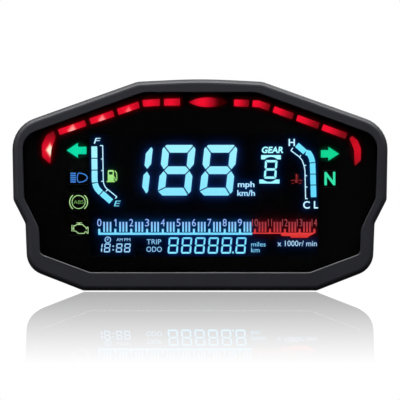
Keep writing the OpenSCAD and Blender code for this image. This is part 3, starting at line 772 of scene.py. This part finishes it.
display_marks(
    "temperature_scale", temp_scale,
    lit_print("temperature_pale", (0.45, 0.76, 0.93), (0.52, 0.78, 0.92), 68, 36),
    letters=[
        ("H", (39.7, 64.7, 42.5, 67.9), 0.02, 0.0), ("C", (46.2, 36.6, 49.2, 40.0), 0.02, 0.0),
        ("L", (51.0, 36.7, 53.0, 40.0), 0.02, 0.0)
    ]
)


def coolant_symbol():
    """A thermometer standing in two waves."""
    stem = box_points(42.9, 48.9, 43.5, 52.2)
    bulb = circle((43.2, 48.9), 0.75, 20)
    marks = [box_points(43.6, y, 44.1, y + 0.3) for y in (50.2, 51.1)]
    wave_left = stroke([(40.7, 49.5), (41.3, 49.1), (41.9, 49.5), (42.3, 49.3)], 0.35)
    wave_right = stroke([(44.1, 49.3), (44.5, 49.5), (45.1, 49.1), (45.8, 49.5)], 0.35)
    floor = stroke([(41.0, 48.2), (41.6, 47.9), (42.2, 48.1)], 0.32)
    far = stroke([(44.2, 48.1), (44.8, 47.9), (45.4, 48.2)], 0.32)
    return [stem, bulb, wave_left, wave_right, floor, far] + marks


display_marks(
    "coolant_symbol", coolant_symbol(),
    lit_print("coolant_red", (0.22, 0.02, 0.02), (0.14, 0.012, 0.012), 52, 48),
    glow=(0.004, 0.0, 0.0)
)

# Rev counter: a base line with a tick for each thousand, three thin bars between them, and
# the last stretch in red with a wedge under it. Its steps close up a little to the right.
REV_COUNT, RED_FROM, BARS = 14, 10, 3
REV_ZERO, REV_STEP, REV_SQUEEZE = -45.11, 7.207, 0.0233


def rev_x(t):
    return REV_ZERO + REV_STEP * t - REV_SQUEEZE * t * t


def scale_nodes():
    """Geometry Nodes that set upright bars along a scale. Bar i stands at step
    First + whole + Gap x rest, where whole and rest are i divided by Per Step."""
    group = bpy.data.node_groups.new("scale_bars", "GeometryNodeTree")
    for label, kind in (
        ("Count", "Int"), ("Per Step", "Float"), ("First", "Float"), ("Gap", "Float"),
        ("Zero", "Float"), ("Step", "Float"), ("Squeeze", "Float"), ("Size", "Vector"),
        ("Middle", "Vector"), ("Material", "Material")
    ):
        group.interface.new_socket(label, in_out="INPUT", socket_type="NodeSocket" + kind)
    group.interface.new_socket("Geometry", in_out="OUTPUT", socket_type="NodeSocketGeometry")
    given, made = group.nodes.new("NodeGroupInput"), group.nodes.new("NodeGroupOutput")
    join = group.links.new

    def worked_out(operation, *values):
        node = maths(group, operation)
        for socket, value in zip(node.inputs, values):
            join(value, socket)
        return node.outputs["Value"]

    index = group.nodes.new("GeometryNodeInputIndex").outputs["Index"]
    get = given.outputs
    whole = worked_out("FLOOR", worked_out("DIVIDE", index, get["Per Step"]))
    rest = worked_out("SUBTRACT", index, worked_out("MULTIPLY", whole, get["Per Step"]))
    start = worked_out("ADD", get["First"], whole)
    step = worked_out("ADD", start, worked_out("MULTIPLY", get["Gap"], rest))
    pace = worked_out("SUBTRACT", get["Step"], worked_out("MULTIPLY", get["Squeeze"], step))
    place = add(group, "CombineXYZ")
    join(worked_out("ADD", get["Zero"], worked_out("MULTIPLY", step, pace)), place.inputs["X"])
    moved = add(group, "VectorMath")
    join(place.outputs["Vector"], moved.inputs[0])
    join(get["Middle"], moved.inputs[1])
    points = group.nodes.new("GeometryNodePoints")
    join(get["Count"], points.inputs["Count"])
    join(moved.outputs["Vector"], points.inputs["Position"])
    bar = group.nodes.new("GeometryNodeMeshCube")
    join(get["Size"], bar.inputs["Size"])
    stand = group.nodes.new("GeometryNodeInstanceOnPoints")
    join(points.outputs[0], stand.inputs["Points"])
    join(bar.outputs["Mesh"], stand.inputs["Instance"])
    real = group.nodes.new("GeometryNodeRealizeInstances")
    join(stand.outputs["Instances"], real.inputs["Geometry"])
    skin = group.nodes.new("GeometryNodeSetMaterial")
    join(real.outputs["Geometry"], skin.inputs["Geometry"])
    join(get["Material"], skin.inputs["Material"])
    join(skin.outputs["Geometry"], made.inputs["Geometry"])
    return group


SCALE_NODES = scale_nodes()


def scale_bars(count, per_step, first, gap, width, level, mat, glow):
    """Bars on the rev scale between two heights, as a mesh. A painted glow lies round them."""
    y0, y1 = level
    holder = bpy.data.objects.new("bars", bpy.data.meshes.new("bars"))
    bpy.context.scene.collection.objects.link(holder)
    maker = holder.modifiers.new("bars", "NODES")
    maker.node_group = SCALE_NODES
    values = {
        "Count": count, "Per Step": float(per_step), "First": float(first), "Gap": float(gap),
        "Zero": REV_ZERO * MM, "Step": REV_STEP * MM, "Squeeze": REV_SQUEEZE * MM,
        "Size": (width * MM, MARK_T, (y1 - y0) * MM),
        "Middle": spot_on_face((0.0, (y0 + y1) / 2), MARK_FRONT + MARK_T / 2),
        "Material": mat
    }
    for socket in SCALE_NODES.interface.items_tree:
        if socket.in_out == "INPUT":
            maker[socket.identifier] = values[socket.name]
    bpy.context.view_layer.update()
    graph = bpy.context.evaluated_depsgraph_get()
    mesh = bpy.data.meshes.new_from_object(holder.evaluated_get(graph))
    bpy.data.objects.remove(holder)
    mesh.materials.clear()
    for i in range(count):
        x = rev_x(first + i // per_step + gap * (i % per_step))
        glow_sources.append((box_points(x - width / 2, y0, x + width / 2, y1), glow, 1.0))
    return mesh


TICK_W, BAR_W, BAR_FIRST, BAR_GAP = 0.9, 0.72, 0.30, 0.20
TICK_LEVEL, BAR_LEVEL, NUMBER_LEVEL = (25.9, 27.6), (26.25, 30.7), (28.7, 32.0)
cool_glow, hot_glow = (0.0, 0.040, 0.13), (0.080, 0.003, 0.006)
rev_cyan = lit_print("rev_cyan", (0.24, 0.45, 0.80), (0.20, 0.68, 0.92), 30.5, 26)
rev_red = lit_print("rev_red", (0.30, 0.03, 0.04), (0.60, 0.032, 0.036), 29, 26.3)
base_cyan = lit_print("rev_base_cyan", (0.16, 0.60, 0.88), (0.14, 0.56, 0.85), 26, 25)
base_red = lit_print("rev_base_red", (0.66, 0.038, 0.038), (0.52, 0.024, 0.020), 26, 24)
for name, start, count, mat, glow in (
    ("rev_bars", 0, RED_FROM, rev_cyan, cool_glow),
    ("rev_red_bars", RED_FROM, REV_COUNT - RED_FROM, rev_red, hot_glow)
):
    ticks = count if start == 0 else count + 1
    joined(name, [
        scale_bars(ticks, 1, start, 0, TICK_W, TICK_LEVEL, mat, glow),
        scale_bars(count * BARS, BARS, start + BAR_FIRST, BAR_GAP, BAR_W, BAR_LEVEL, mat, glow)
    ], mat)
BASE_END = 23.4
display_marks(
    "rev_base", [box_points(REV_ZERO - TICK_W / 2, 24.9, BASE_END, 25.9)], base_cyan,
    glow=(0.0, 0.016, 0.09)
)
display_marks("rev_red_base", [[
    (BASE_END + 0.2, 25.4), (36.26, 25.4), (36.45, 24.43), (40.35, 24.3), (40.9, 23.6),
    (48.05, 23.6), (49.3, 24.5), (51.7, 25.85), (51.7, 25.9), (BASE_END + 0.2, 25.9)
]], base_red, glow=(0.02, 0.0, 0.0006))


def flagged_one(x, y0, y1):
    """A one 0.95 mm wide with a flag."""
    left, right, stem = x - 0.475, x + 0.475, 0.44
    return [
        (right - stem, y0), (right, y0), (right, y1), (right - 0.35, y1), (left, y1 - 0.6),
        (left, y1 - 1.05), (right - stem, y1 - 0.65)
    ]


NUMBER_WIDTHS = {0: 1.9, 10: 2.6, 11: 1.7, 12: 2.4, 13: 2.4, 14: 2.4}
cool_text, hot_text = [], []
for n in range(REV_COUNT + 1):
    half = NUMBER_WIDTHS.get(n, 1.8) / 2
    if n != 1:
        (cool_text if n < RED_FROM else hot_text).append(
            (str(n), (rev_x(n) - half, NUMBER_LEVEL[0], rev_x(n) + half, NUMBER_LEVEL[1]), 0.0, 0.0)
        )
display_marks(
    "rev_numbers", [flagged_one(rev_x(1), *NUMBER_LEVEL)],
    lit_print("rev_pale", (0.26, 0.42, 0.83), (0.26, 0.44, 0.83), 32, 28.7),
    letters=cool_text, glow=(0.001, 0.010, 0.07)
)
display_marks(
    "rev_red_numbers", [],
    lit_print("rev_dull_red", (0.30, 0.045, 0.053), (0.28, 0.04, 0.048), 32, 28.7),
    letters=hot_text, glow=(0.010, 0.0, 0.0006)
)
display_marks(
    "rev_unit", [], lit_print("rev_unit_pale", (0.40, 0.62, 0.82), (0.36, 0.60, 0.84), 23, 19),
    letters=[("x 1000r/ min", (34.7, 19.8, 52.3, 22.3), 0.0, 0.0)]
)

# Clock, trip meter and their labels
clock_ring = [circle((-41.3, 22.7), 1.45), circle((-41.3, 22.7), 1.1)]
hands = stroke([(-41.25, 23.6), (-41.25, 22.65), (-41.9, 22.65)], 0.28)
clock_marks = [clock_ring, hands]
CLOCK_SIZE, CLOCK_LOOK = (2.85, 4.1), ((0.62, 0.62), 0.12, LEAN)
clock_marks += seven_bar(-46.75, 17.0, *CLOCK_SIZE, *CLOCK_LOOK, lit="bc")
for x in (-43.2, -37.85, -34.2):
    clock_marks += seven_bar(x, 17.0, *CLOCK_SIZE, *CLOCK_LOOK)
clock_marks += [box_points(-39.2, y - 0.3, -38.6, y + 0.3) for y in (18.2, 19.8)]
display_marks(
    "clock_marks", clock_marks,
    lit_print("clock_pale", (0.28, 0.55, 0.85), (0.32, 0.60, 0.88), 24, 17),
    letters=[
        ("AM", (-37.4, 22.1, -34.7, 23.4), 0.0, 0.0), ("PM", (-33.9, 22.1, -31.2, 23.4), 0.0, 0.0)
    ]
)
display_marks(
    "meter_labels", [], lit_print("label_pale", (0.24, 0.52, 0.80), (0.28, 0.56, 0.84), 23, 17),
    letters=[
        ("TRIP", (-23.9, 20.7, -17.4, 22.9), 0.0, 0.0),
        ("ODO", (-24.0, 17.3, -17.1, 19.6), 0.0, 0.0)
    ]
)
ODO_W, ODO_H, ODO_PITCH, ODO_AT = 4.75, 7.5, 5.97, (-14.7, 16.4)
ODO_LOOK = ((0.95, 0.95), 0.2, 0.09)
TENTHS_X = 15.6
odometer = []
for i in range(5):
    odometer += seven_bar(ODO_AT[0] + i * ODO_PITCH, ODO_AT[1], ODO_W, ODO_H, *ODO_LOOK)
odometer += seven_bar(TENTHS_X, ODO_AT[1], ODO_W, ODO_H, *ODO_LOOK)
odometer.append(box_points(14.5, 16.6, 15.1, 17.4))
display_marks(
    "odometer_digits", odometer,
    lit_print("odometer_cyan", (0.16, 0.62, 0.88), (0.22, 0.72, 0.93), 24, 16.5),
    glow=(0.001, 0.010, 0.09)
)
display_marks(
    "meter_units", [], lit_print("meter_unit_cyan", (0.20, 0.58, 0.85), (0.20, 0.58, 0.85), 23, 17),
    letters=[
        ("miles", (22.9, 19.7, 29.4, 21.7), 0.0, 0.0), ("km", (22.9, 17.1, 26.7, 19.2), 0.0, 0.0)
    ]
)

# ---- Painted glow round the display marks -------------------------------------------------
# A painted glow lies round every mark, strongest close to it, and makes the black film look
# navy. The sheet carries that glow as a colour on its points.

GLOW_CELL = 0.5


def inside(loop, xs, ys):
    """Which points of a grid lie inside a loop."""
    hit = np.zeros((len(ys), len(xs)), bool)
    gx, gy = np.meshgrid(xs, ys)
    for (x0, y0), (x1, y1) in zip(loop, list(loop[1:]) + [loop[0]]):
        if y0 == y1:
            continue
        crosses = (gy >= min(y0, y1)) & (gy < max(y0, y1))
        hit ^= crosses & (gx < x0 + (gy - y0) * (x1 - x0) / (y1 - y0))
    return hit


def blurred(field, spread):
    """A field blurred by a bell curve of the given spread, in cells."""
    reach = int(3 * spread) + 1
    bell = np.exp(-0.5 * (np.arange(-reach, reach + 1) / spread) ** 2)
    bell /= bell.sum()
    for axis in (0, 1):
        field = np.apply_along_axis(np.convolve, axis, field, bell, "same")
    return field


def glow_field(sources, xs, ys, near, wide, wide_share):
    """The painted glow at each grid point, as red, green, blue and one. It is a narrow blur
    of the sources and a share of a wide one, with their spreads in millimetres."""
    cell = xs[1] - xs[0]
    field = np.zeros((len(ys), len(xs), 3))
    for loop, colour, share in sources:
        mask = inside(loop, xs, ys)
        for channel in range(3):
            field[..., channel][mask] = np.maximum(
                field[..., channel][mask], colour[channel] * share
            )
    soft = [
        blurred(field[..., c], near / cell) * (1 - wide_share)
        + blurred(field[..., c], wide / cell) * wide_share
        for c in range(3)
    ]
    return np.stack(soft + [np.ones_like(soft[0])], axis=-1)


def grid_film(name, xs, ys, front, thick, colours, keep=None):
    """A closed film whose front is a grid of points that carry colours. keep says which of
    its cells exist."""
    bm = bmesh.new()
    layer = bm.verts.layers.float_color.new("glow")
    near, far = {}, {}
    keep = np.ones((len(ys) - 1, len(xs) - 1), bool) if keep is None else keep
    for j, i in zip(*np.nonzero(keep)):
        for dj, di in ((0, 0), (0, 1), (1, 0), (1, 1)):
            key = (j + dj, i + di)
            if key not in near:
                p = (xs[key[1]], ys[key[0]])
                near[key] = bm.verts.new(spot_on_face(p, front))
                far[key] = bm.verts.new(spot_on_face(p, front + thick))
                near[key][layer] = colours[key]
                far[key][layer] = (0, 0, 0, 0)
    for j, i in zip(*np.nonzero(keep)):
        a, b, c, d = (j, i), (j, i + 1), (j + 1, i + 1), (j + 1, i)
        bm.faces.new([near[k] for k in (a, b, c, d)])
        bm.faces.new([far[k] for k in (d, c, b, a)])
        for p, q, dj, di in ((a, b, -1, 0), (b, c, 0, 1), (c, d, 1, 0), (d, a, 0, -1)):
            jj, ii = j + dj, i + di
            on_grid = 0 <= jj < keep.shape[0] and 0 <= ii < keep.shape[1]
            if not on_grid or not keep[jj, ii]:
                bm.faces.new((near[p], far[p], far[q], near[q]))
    bmesh.ops.recalc_face_normals(bm, faces=bm.faces)
    mesh = bpy.data.meshes.new(name)
    bm.to_mesh(mesh)
    bm.free()
    return mesh


def glowing_film(name, tone, roughness, specular, clear=False):
    """A film that glows in the colours on its points. A clear one takes its alpha from them."""
    mat, tree, shader = new_material(name)
    glow = add(tree, "Attribute")
    glow.attribute_name = "glow"
    tree.links.new(glow.outputs["Color"], shader.inputs["Emission Color"])
    if clear:
        tree.links.new(glow.outputs["Alpha"], shader.inputs["Alpha"])
    set_sockets(
        shader, Base_Color=(*tone, 1), Roughness=roughness, Emission_Strength=1.0,
        Specular_IOR_Level=specular
    )
    return mat


# Painted glow: the film below glows round the marks as a colour on its points
PAINTED_GLOW_GAIN = 1.9
lcd_low, lcd_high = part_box("front_polariser")
lcd_xs = np.arange(lcd_low.x / MM, lcd_high.x / MM, GLOW_CELL)
lcd_ys = np.arange((lcd_low.z - BOTTOM) / MM, (lcd_high.z - BOTTOM) / MM, GLOW_CELL)
painted_glow = glow_field(glow_sources, lcd_xs, lcd_ys, near=0.8, wide=2.4, wide_share=0.3)
painted_glow[..., :3] *= PAINTED_GLOW_GAIN / LENS_PASS
film = grid_film("painted_display_glow", lcd_xs, lcd_ys, LCD_FRONT - 0.00003, 0.00002, painted_glow)
painted_glow_film = glowing_film("painted_glow_film", (0.002, 0.002, 0.003), 0.8, 0.05)
joined("painted_display_glow", [film], painted_glow_film)

# ---- Halo of the shift lights -------------------------------------------------------------
# A painted glow lies as a soft halo round the red windows and the arrows. A clear film in
# the air gap carries it.

HALO_CELL = 0.35
HALO_STRENGTH = 0.7
# The share of the halo that is left in front of the windows themselves
OVER_WINDOW = 0.15


def outline_of(node):
    """The front outline of a flat CAD node, as the hull of its points."""
    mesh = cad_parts[node].data
    points = sorted({
        (round(v.co.x / MM, 3), round((v.co.z - BOTTOM) / MM, 3)) for v in mesh.vertices
    })
    hull = geometry.convex_hull_2d(points)
    return [points[i] for i in hull]


halo_sources = [
    (outline_of(f"shift_window_{i:02d}"), (1.0 if i < SHIFT_MIDDLE else 0.45, 0.0, 0.0), 1.0)
    for i in range(1, SHIFT_COUNT)
]
halo_sources.append((outline_of(f"shift_window_{SHIFT_COUNT}"), (0.3, 0.0, 0.0), 1.0))
halo_sources += [
    (outline_of(n), (0.0, 0.4, 0.0), 1.0) for n in ("turn_left_window", "turn_right_window")
]
mask_low, mask_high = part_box("mask_plate")
halo_xs = np.arange(mask_low.x / MM + 1, mask_high.x / MM - 1, HALO_CELL)
halo_foot = (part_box("abs_window")[0].z - BOTTOM) / MM
halo_ys = np.arange(halo_foot, (mask_high.z - BOTTOM) / MM - 1, HALO_CELL)
halo = glow_field(halo_sources, halo_xs, halo_ys, near=0.35, wide=1.3, wide_share=0.18)
red, green = halo[..., 0], halo[..., 1]
alpha = np.clip((red + green) * HALO_STRENGTH, 0, 0.9)
for source in halo_sources:
    alpha[inside(source[0], halo_xs, halo_ys)] *= OVER_WINDOW
share = red / np.maximum(red + green, 1e-6)
blue = (1 - share) * 0.18 + share * 0.004
tint = np.stack([share * 0.6, (1 - share) * 0.45, blue, alpha], axis=-1)
FAINTEST = 0.004
cells = alpha[:-1, :-1] > FAINTEST
# Painted glow: a clear film that glows round the red windows and the arrows
film = grid_film("lamp_halo", halo_xs, halo_ys, INK_FRONT - 0.0002, 0.00002, tint, cells)
halo_film = glowing_film("halo_film", (0, 0, 0), 1.0, 0.0, clear=True)
joined("lamp_halo", [film], halo_film)

# ---- Rear cover and its screws -------------------------------------------------------------
# The back is a second charcoal moulding with a coarser grain, closed on the bezel with black
# zinc screws. Brass inserts are moulded into its three bosses.

dress("rear_cover", moulded_plastic(
    "cover_abs", dark=(0.014, 0.0145, 0.017), light=(0.021, 0.0215, 0.025), rough=(0.5, 0.64),
    grain=1700.0, depth=0.00004
))


def metal(name, dark, light, rough, grain=1800.0):
    """A metal finish: two close tones, a roughness range and fine tool marks."""
    mat = moulded_plastic(name, dark, light, rough, grain, depth=0.000008)
    for node in mat.node_tree.nodes:
        if node.type == "BSDF_PRINCIPLED":
            node.inputs["Metallic"].default_value = 1.0
    return mat


zinc = metal("black_zinc", (0.07, 0.07, 0.075), (0.11, 0.11, 0.12), (0.28, 0.42))
for node in ("cover_screws", "board_screws"):
    dress(node, zinc)
dress("mount_inserts", metal("turned_brass", (0.62, 0.44, 0.15), (0.74, 0.55, 0.22), (0.22, 0.34)))

# ---- Buttons and wiring socket --------------------------------------------------------------
# The two buttons are moulded in soft black elastomer over hard stems. The socket is glass
# filled nylon with tinned brass pins.

button_skin = rubber("button_elastomer", (0.020, 0.020, 0.021), (0.55, 0.7))
stem_nylon = moulded_plastic(
    "stem_nylon", dark=(0.03, 0.03, 0.03), light=(0.04, 0.04, 0.04), rough=(0.35, 0.5)
)
switch_steel = metal("tinned_steel", (0.50, 0.50, 0.49), (0.62, 0.62, 0.60), (0.25, 0.38))
for side in ("left", "right"):
    dress(f"button_{side}", button_skin)
    dress(f"tact_stem_{side}", stem_nylon)
    dress(f"tact_switch_{side}", switch_steel)
dress("connector_housing", moulded_plastic(
    "glass_filled_nylon", dark=(0.010, 0.010, 0.011), light=(0.018, 0.018, 0.019),
    rough=(0.42, 0.6), grain=1300.0, depth=0.00003
))
dress("connector_pins", metal("tinned_brass", (0.60, 0.59, 0.55), (0.72, 0.71, 0.66), (0.2, 0.32)))

# ---- Display stack ---------------------------------------------------------------------------
# Two sheets of glass between polarising films, over a diffuser, a clear light guide and a
# white reflector, all held in a pale frame.

lcd_glass = clear_sheet("display_glass_sheet", (0.92, 0.95, 0.94), 1.52)
for node in ("lcd_front_glass", "lcd_rear_glass"):
    dress(node, lcd_glass)
polariser = moulded_plastic(
    "polariser", dark=(0.010, 0.011, 0.013), light=(0.013, 0.014, 0.017), rough=(0.12, 0.2),
    grain=400.0, depth=0.000002
)
for node in ("front_polariser", "rear_polariser"):
    dress(node, polariser)
dress("light_guide", clear_sheet("light_guide_acrylic", (0.95, 0.96, 0.95), 1.49))
milky = moulded_plastic(
    "milky_film", dark=(0.72, 0.73, 0.74), light=(0.80, 0.81, 0.82), rough=(0.4, 0.55), grain=700.0
)
for node in ("diffuser_sheet", "reflector_sheet"):
    dress(node, milky)
pale_plastic = moulded_plastic(
    "pale_polycarbonate", dark=(0.56, 0.56, 0.55), light=(0.63, 0.63, 0.62), rough=(0.45, 0.6)
)
for node in ("lcd_frame", "light_box"):
    dress(node, pale_plastic)

# ---- Circuit board ----------------------------------------------------------------------------
# Glass fibre board under green solder mask, with the copper tracks showing through as a
# slightly paler pattern. Chips are black epoxy, capacitors are aluminium cans.


def solder_mask():
    """Green mask with a pattern of tracks that is paler and stands up a little."""
    mat, tree, shader = new_material("solder_mask")
    join = tree.links.new
    place = add(tree, "TexCoord")
    parts = add(tree, "SeparateXYZ")
    flat = add(tree, "CombineXYZ")
    tracks = add(tree, "TexBrick")
    tracks.offset = 0.37
    set_sockets(
        tracks, Color1=(0.006, 0.075, 0.030, 1), Color2=(0.008, 0.090, 0.036, 1),
        Mortar=(0.020, 0.160, 0.060, 1), Scale=180.0, Mortar_Size=0.05, Brick_Width=1.9,
        Row_Height=0.28
    )
    weave = add(tree, "TexNoise", Scale=1200.0, Detail=2.0)
    rough = add(tree, "MapRange", To_Min=0.25, To_Max=0.4)
    bump = add(tree, "Bump", Strength=0.5, Distance=0.00002)
    join(place.outputs["Object"], parts.inputs["Vector"])
    join(parts.outputs["X"], flat.inputs["X"])
    join(parts.outputs["Z"], flat.inputs["Y"])
    join(flat.outputs["Vector"], tracks.inputs["Vector"])
    join(place.outputs["Object"], weave.inputs["Vector"])
    join(weave.outputs["Fac"], rough.inputs["Value"])
    join(tracks.outputs["Color"], shader.inputs["Base Color"])
    join(rough.outputs["Result"], shader.inputs["Roughness"])
    join(tracks.outputs["Fac"], bump.inputs["Height"])
    join(bump.outputs["Normal"], shader.inputs["Normal"])
    return mat


dress("circuit_board", solder_mask())
epoxy = moulded_plastic(
    "chip_epoxy", dark=(0.012, 0.012, 0.013), light=(0.02, 0.02, 0.021), rough=(0.5, 0.7),
    grain=2200.0
)
for node in ("microcontroller", "display_driver", "voltage_regulator"):
    dress(node, epoxy)
can = metal("aluminium_can", (0.66, 0.67, 0.68), (0.78, 0.79, 0.80), (0.22, 0.34))
for node in ("capacitors", "crystal"):
    dress(node, can)
lamp_body = moulded_plastic(
    "lamp_body", dark=(0.70, 0.68, 0.52), light=(0.80, 0.79, 0.66), rough=(0.3, 0.45), grain=900.0
)
for node in ("shift_leds", "telltale_leds", "backlight_leds"):
    dress(node, lamp_body)

# ---- Camera, light and floor --------------------------------------------------------------
# A level camera with a long lens looks square at the face. Soft light comes from above, from
# the left and from behind, and the floor is white and glossy in front of the object.

case_w = cad_high.x - cad_low.x
case_h = cad_high.z - cad_low.z
PICTURE_W = case_w * 1.0643
CAMERA_FAR = 1.4
SENSOR = 36.0
lens_data = bpy.data.cameras.new("camera")
lens_data.sensor_width = SENSOR
lens_data.lens = SENSOR * (CAMERA_FAR + cad_low.y) / PICTURE_W
camera = bpy.data.objects.new("camera", lens_data)
camera.location = (0, -CAMERA_FAR, cad_low.z + 0.4287 * case_h)
camera.rotation_euler = (math.radians(90), 0, 0)
bpy.context.scene.collection.objects.link(camera)
bpy.context.scene.camera = camera
bpy.context.scene.view_settings.view_transform = "Standard"


def softbox(name, at, towards, size, power, colour=(1, 1, 1)):
    light = bpy.data.lights.new(name, "AREA")
    light.shape = "RECTANGLE"
    light.size, light.size_y = size
    light.energy = power
    light.color = colour
    lamp = bpy.data.objects.new(name, light)
    lamp.location = at
    way = np.array(towards, float) - np.array(at, float)
    lamp.rotation_euler = Vector(way).to_track_quat("-Z", "Y").to_euler()
    bpy.context.scene.collection.objects.link(lamp)


softbox("top_softbox", (0.0, -0.35, 0.80), (0, 0, 0), (1.5, 0.55), 24.0)
softbox("left_softbox", (-0.75, -1.0, 0.45), (0, 0, 0), (0.5, 0.5), 3.0)
softbox("rear_softbox", (0.5, 1.1, 0.7), (0, 0, 0), (0.9, 0.6), 8.0)


def studio_world():
    """White for the camera and just above the horizon behind, dim elsewhere, and dark
    straight in front of the face so that the window stays black."""
    world = bpy.data.worlds.new("studio")
    bpy.context.scene.world = world
    world.use_nodes = True
    tree = world.node_tree
    tree.nodes.clear()
    join = tree.links.new
    out = add(tree, "OutputWorld")
    sky = add(tree, "Background")
    paper = add(tree, "Background", Color=(1, 1, 1, 1), Strength=1.0)
    both = add(tree, "MixShader")
    path = add(tree, "LightPath")
    place = add(tree, "TexCoord")
    parts = add(tree, "SeparateXYZ")
    horizon = maths(tree, "COMPARE")
    horizon.inputs[1].default_value = 0.05
    horizon.inputs[2].default_value = 0.05
    behind = add(tree, "MapRange", From_Min=0.9, From_Max=0.97, To_Max=1.35)
    band = maths(tree, "MULTIPLY")
    dome = add(tree, "MapRange", From_Min=-0.6, From_Max=1.0, To_Min=0.06, To_Max=0.42)
    lit = maths(tree, "MAXIMUM")
    front = add(tree, "MapRange")
    front.interpolation_type = "SMOOTHSTEP"
    set_sockets(front, From_Min=-0.97, From_Max=-0.4)
    strength = maths(tree, "MULTIPLY")
    join(place.outputs["Generated"], parts.inputs["Vector"])
    join(parts.outputs["Z"], horizon.inputs[0])
    join(parts.outputs["Z"], dome.inputs["Value"])
    join(parts.outputs["Y"], behind.inputs["Value"])
    join(horizon.outputs["Value"], band.inputs[0])
    join(behind.outputs["Result"], band.inputs[1])
    join(band.outputs["Value"], lit.inputs[0])
    join(dome.outputs["Result"], lit.inputs[1])
    join(parts.outputs["Y"], front.inputs["Value"])
    join(lit.outputs["Value"], strength.inputs[0])
    join(front.outputs["Result"], strength.inputs[1])
    join(strength.outputs["Value"], sky.inputs["Strength"])
    join(path.outputs["Is Camera Ray"], both.inputs["Fac"])
    join(sky.outputs["Background"], both.inputs[1])
    join(paper.outputs["Background"], both.inputs[2])
    join(both.outputs["Shader"], out.inputs["Surface"])


studio_world()


def white_floor():
    """A pale floor: white to the camera, with a reflection that fades towards it. Other rays
    pass through it."""
    mat = bpy.data.materials.new("white_floor")
    mat.use_nodes = True
    tree = mat.node_tree
    tree.nodes.clear()
    join = tree.links.new
    out = add(tree, "OutputMaterial")
    paper = add(tree, "Emission")
    gloss = add(tree, "BsdfGlossy", Color=(1, 1, 1, 1), Roughness=0.0)
    place = add(tree, "TexCoord")
    parts = add(tree, "SeparateXYZ")
    fade = add(tree, "MapRange", From_Min=cad_low.y, From_Max=cad_low.y - 0.6)
    bend = maths(tree, "POWER")
    bend.inputs[1].default_value = 1.6
    gleam = add(tree, "MapRange", To_Min=0.56, To_Max=0.0)
    before = maths(tree, "LESS_THAN")
    before.inputs[1].default_value = cad_low.y
    share = maths(tree, "MULTIPLY")
    seen = add(tree, "MixShader")
    path = add(tree, "LightPath")
    both = add(tree, "MixShader")
    hole = add(tree, "BsdfTransparent")
    join(place.outputs["Object"], parts.inputs["Vector"])
    join(parts.outputs["Y"], fade.inputs["Value"])
    join(fade.outputs["Result"], bend.inputs[0])
    join(bend.outputs["Value"], gleam.inputs["Value"])
    join(parts.outputs["Y"], before.inputs[0])
    join(gleam.outputs["Result"], share.inputs[0])
    join(before.outputs["Value"], share.inputs[1])
    join(share.outputs["Value"], seen.inputs["Fac"])
    join(paper.outputs["Emission"], seen.inputs[1])
    join(gloss.outputs["BSDF"], seen.inputs[2])
    join(path.outputs["Is Camera Ray"], both.inputs["Fac"])
    join(hole.outputs["BSDF"], both.inputs[1])
    join(seen.outputs["Shader"], both.inputs[2])
    join(both.outputs["Shader"], out.inputs["Surface"])
    return mat


FLOOR_HALF = 4.0
# A hair of white shows between the object and its reflection
FLOOR_DROP = 0.0005
floor_mesh = bpy.data.meshes.new("floor")
floor_corners = box_points(-FLOOR_HALF, -FLOOR_HALF, FLOOR_HALF, FLOOR_HALF)
floor_mesh.from_pydata(
    [(x, y, cad_low.z - FLOOR_DROP) for x, y in floor_corners], [], [(0, 1, 2, 3)]
)
floor_mesh.materials.append(white_floor())
floor = bpy.data.objects.new("floor", floor_mesh)
bpy.context.scene.collection.objects.link(floor)
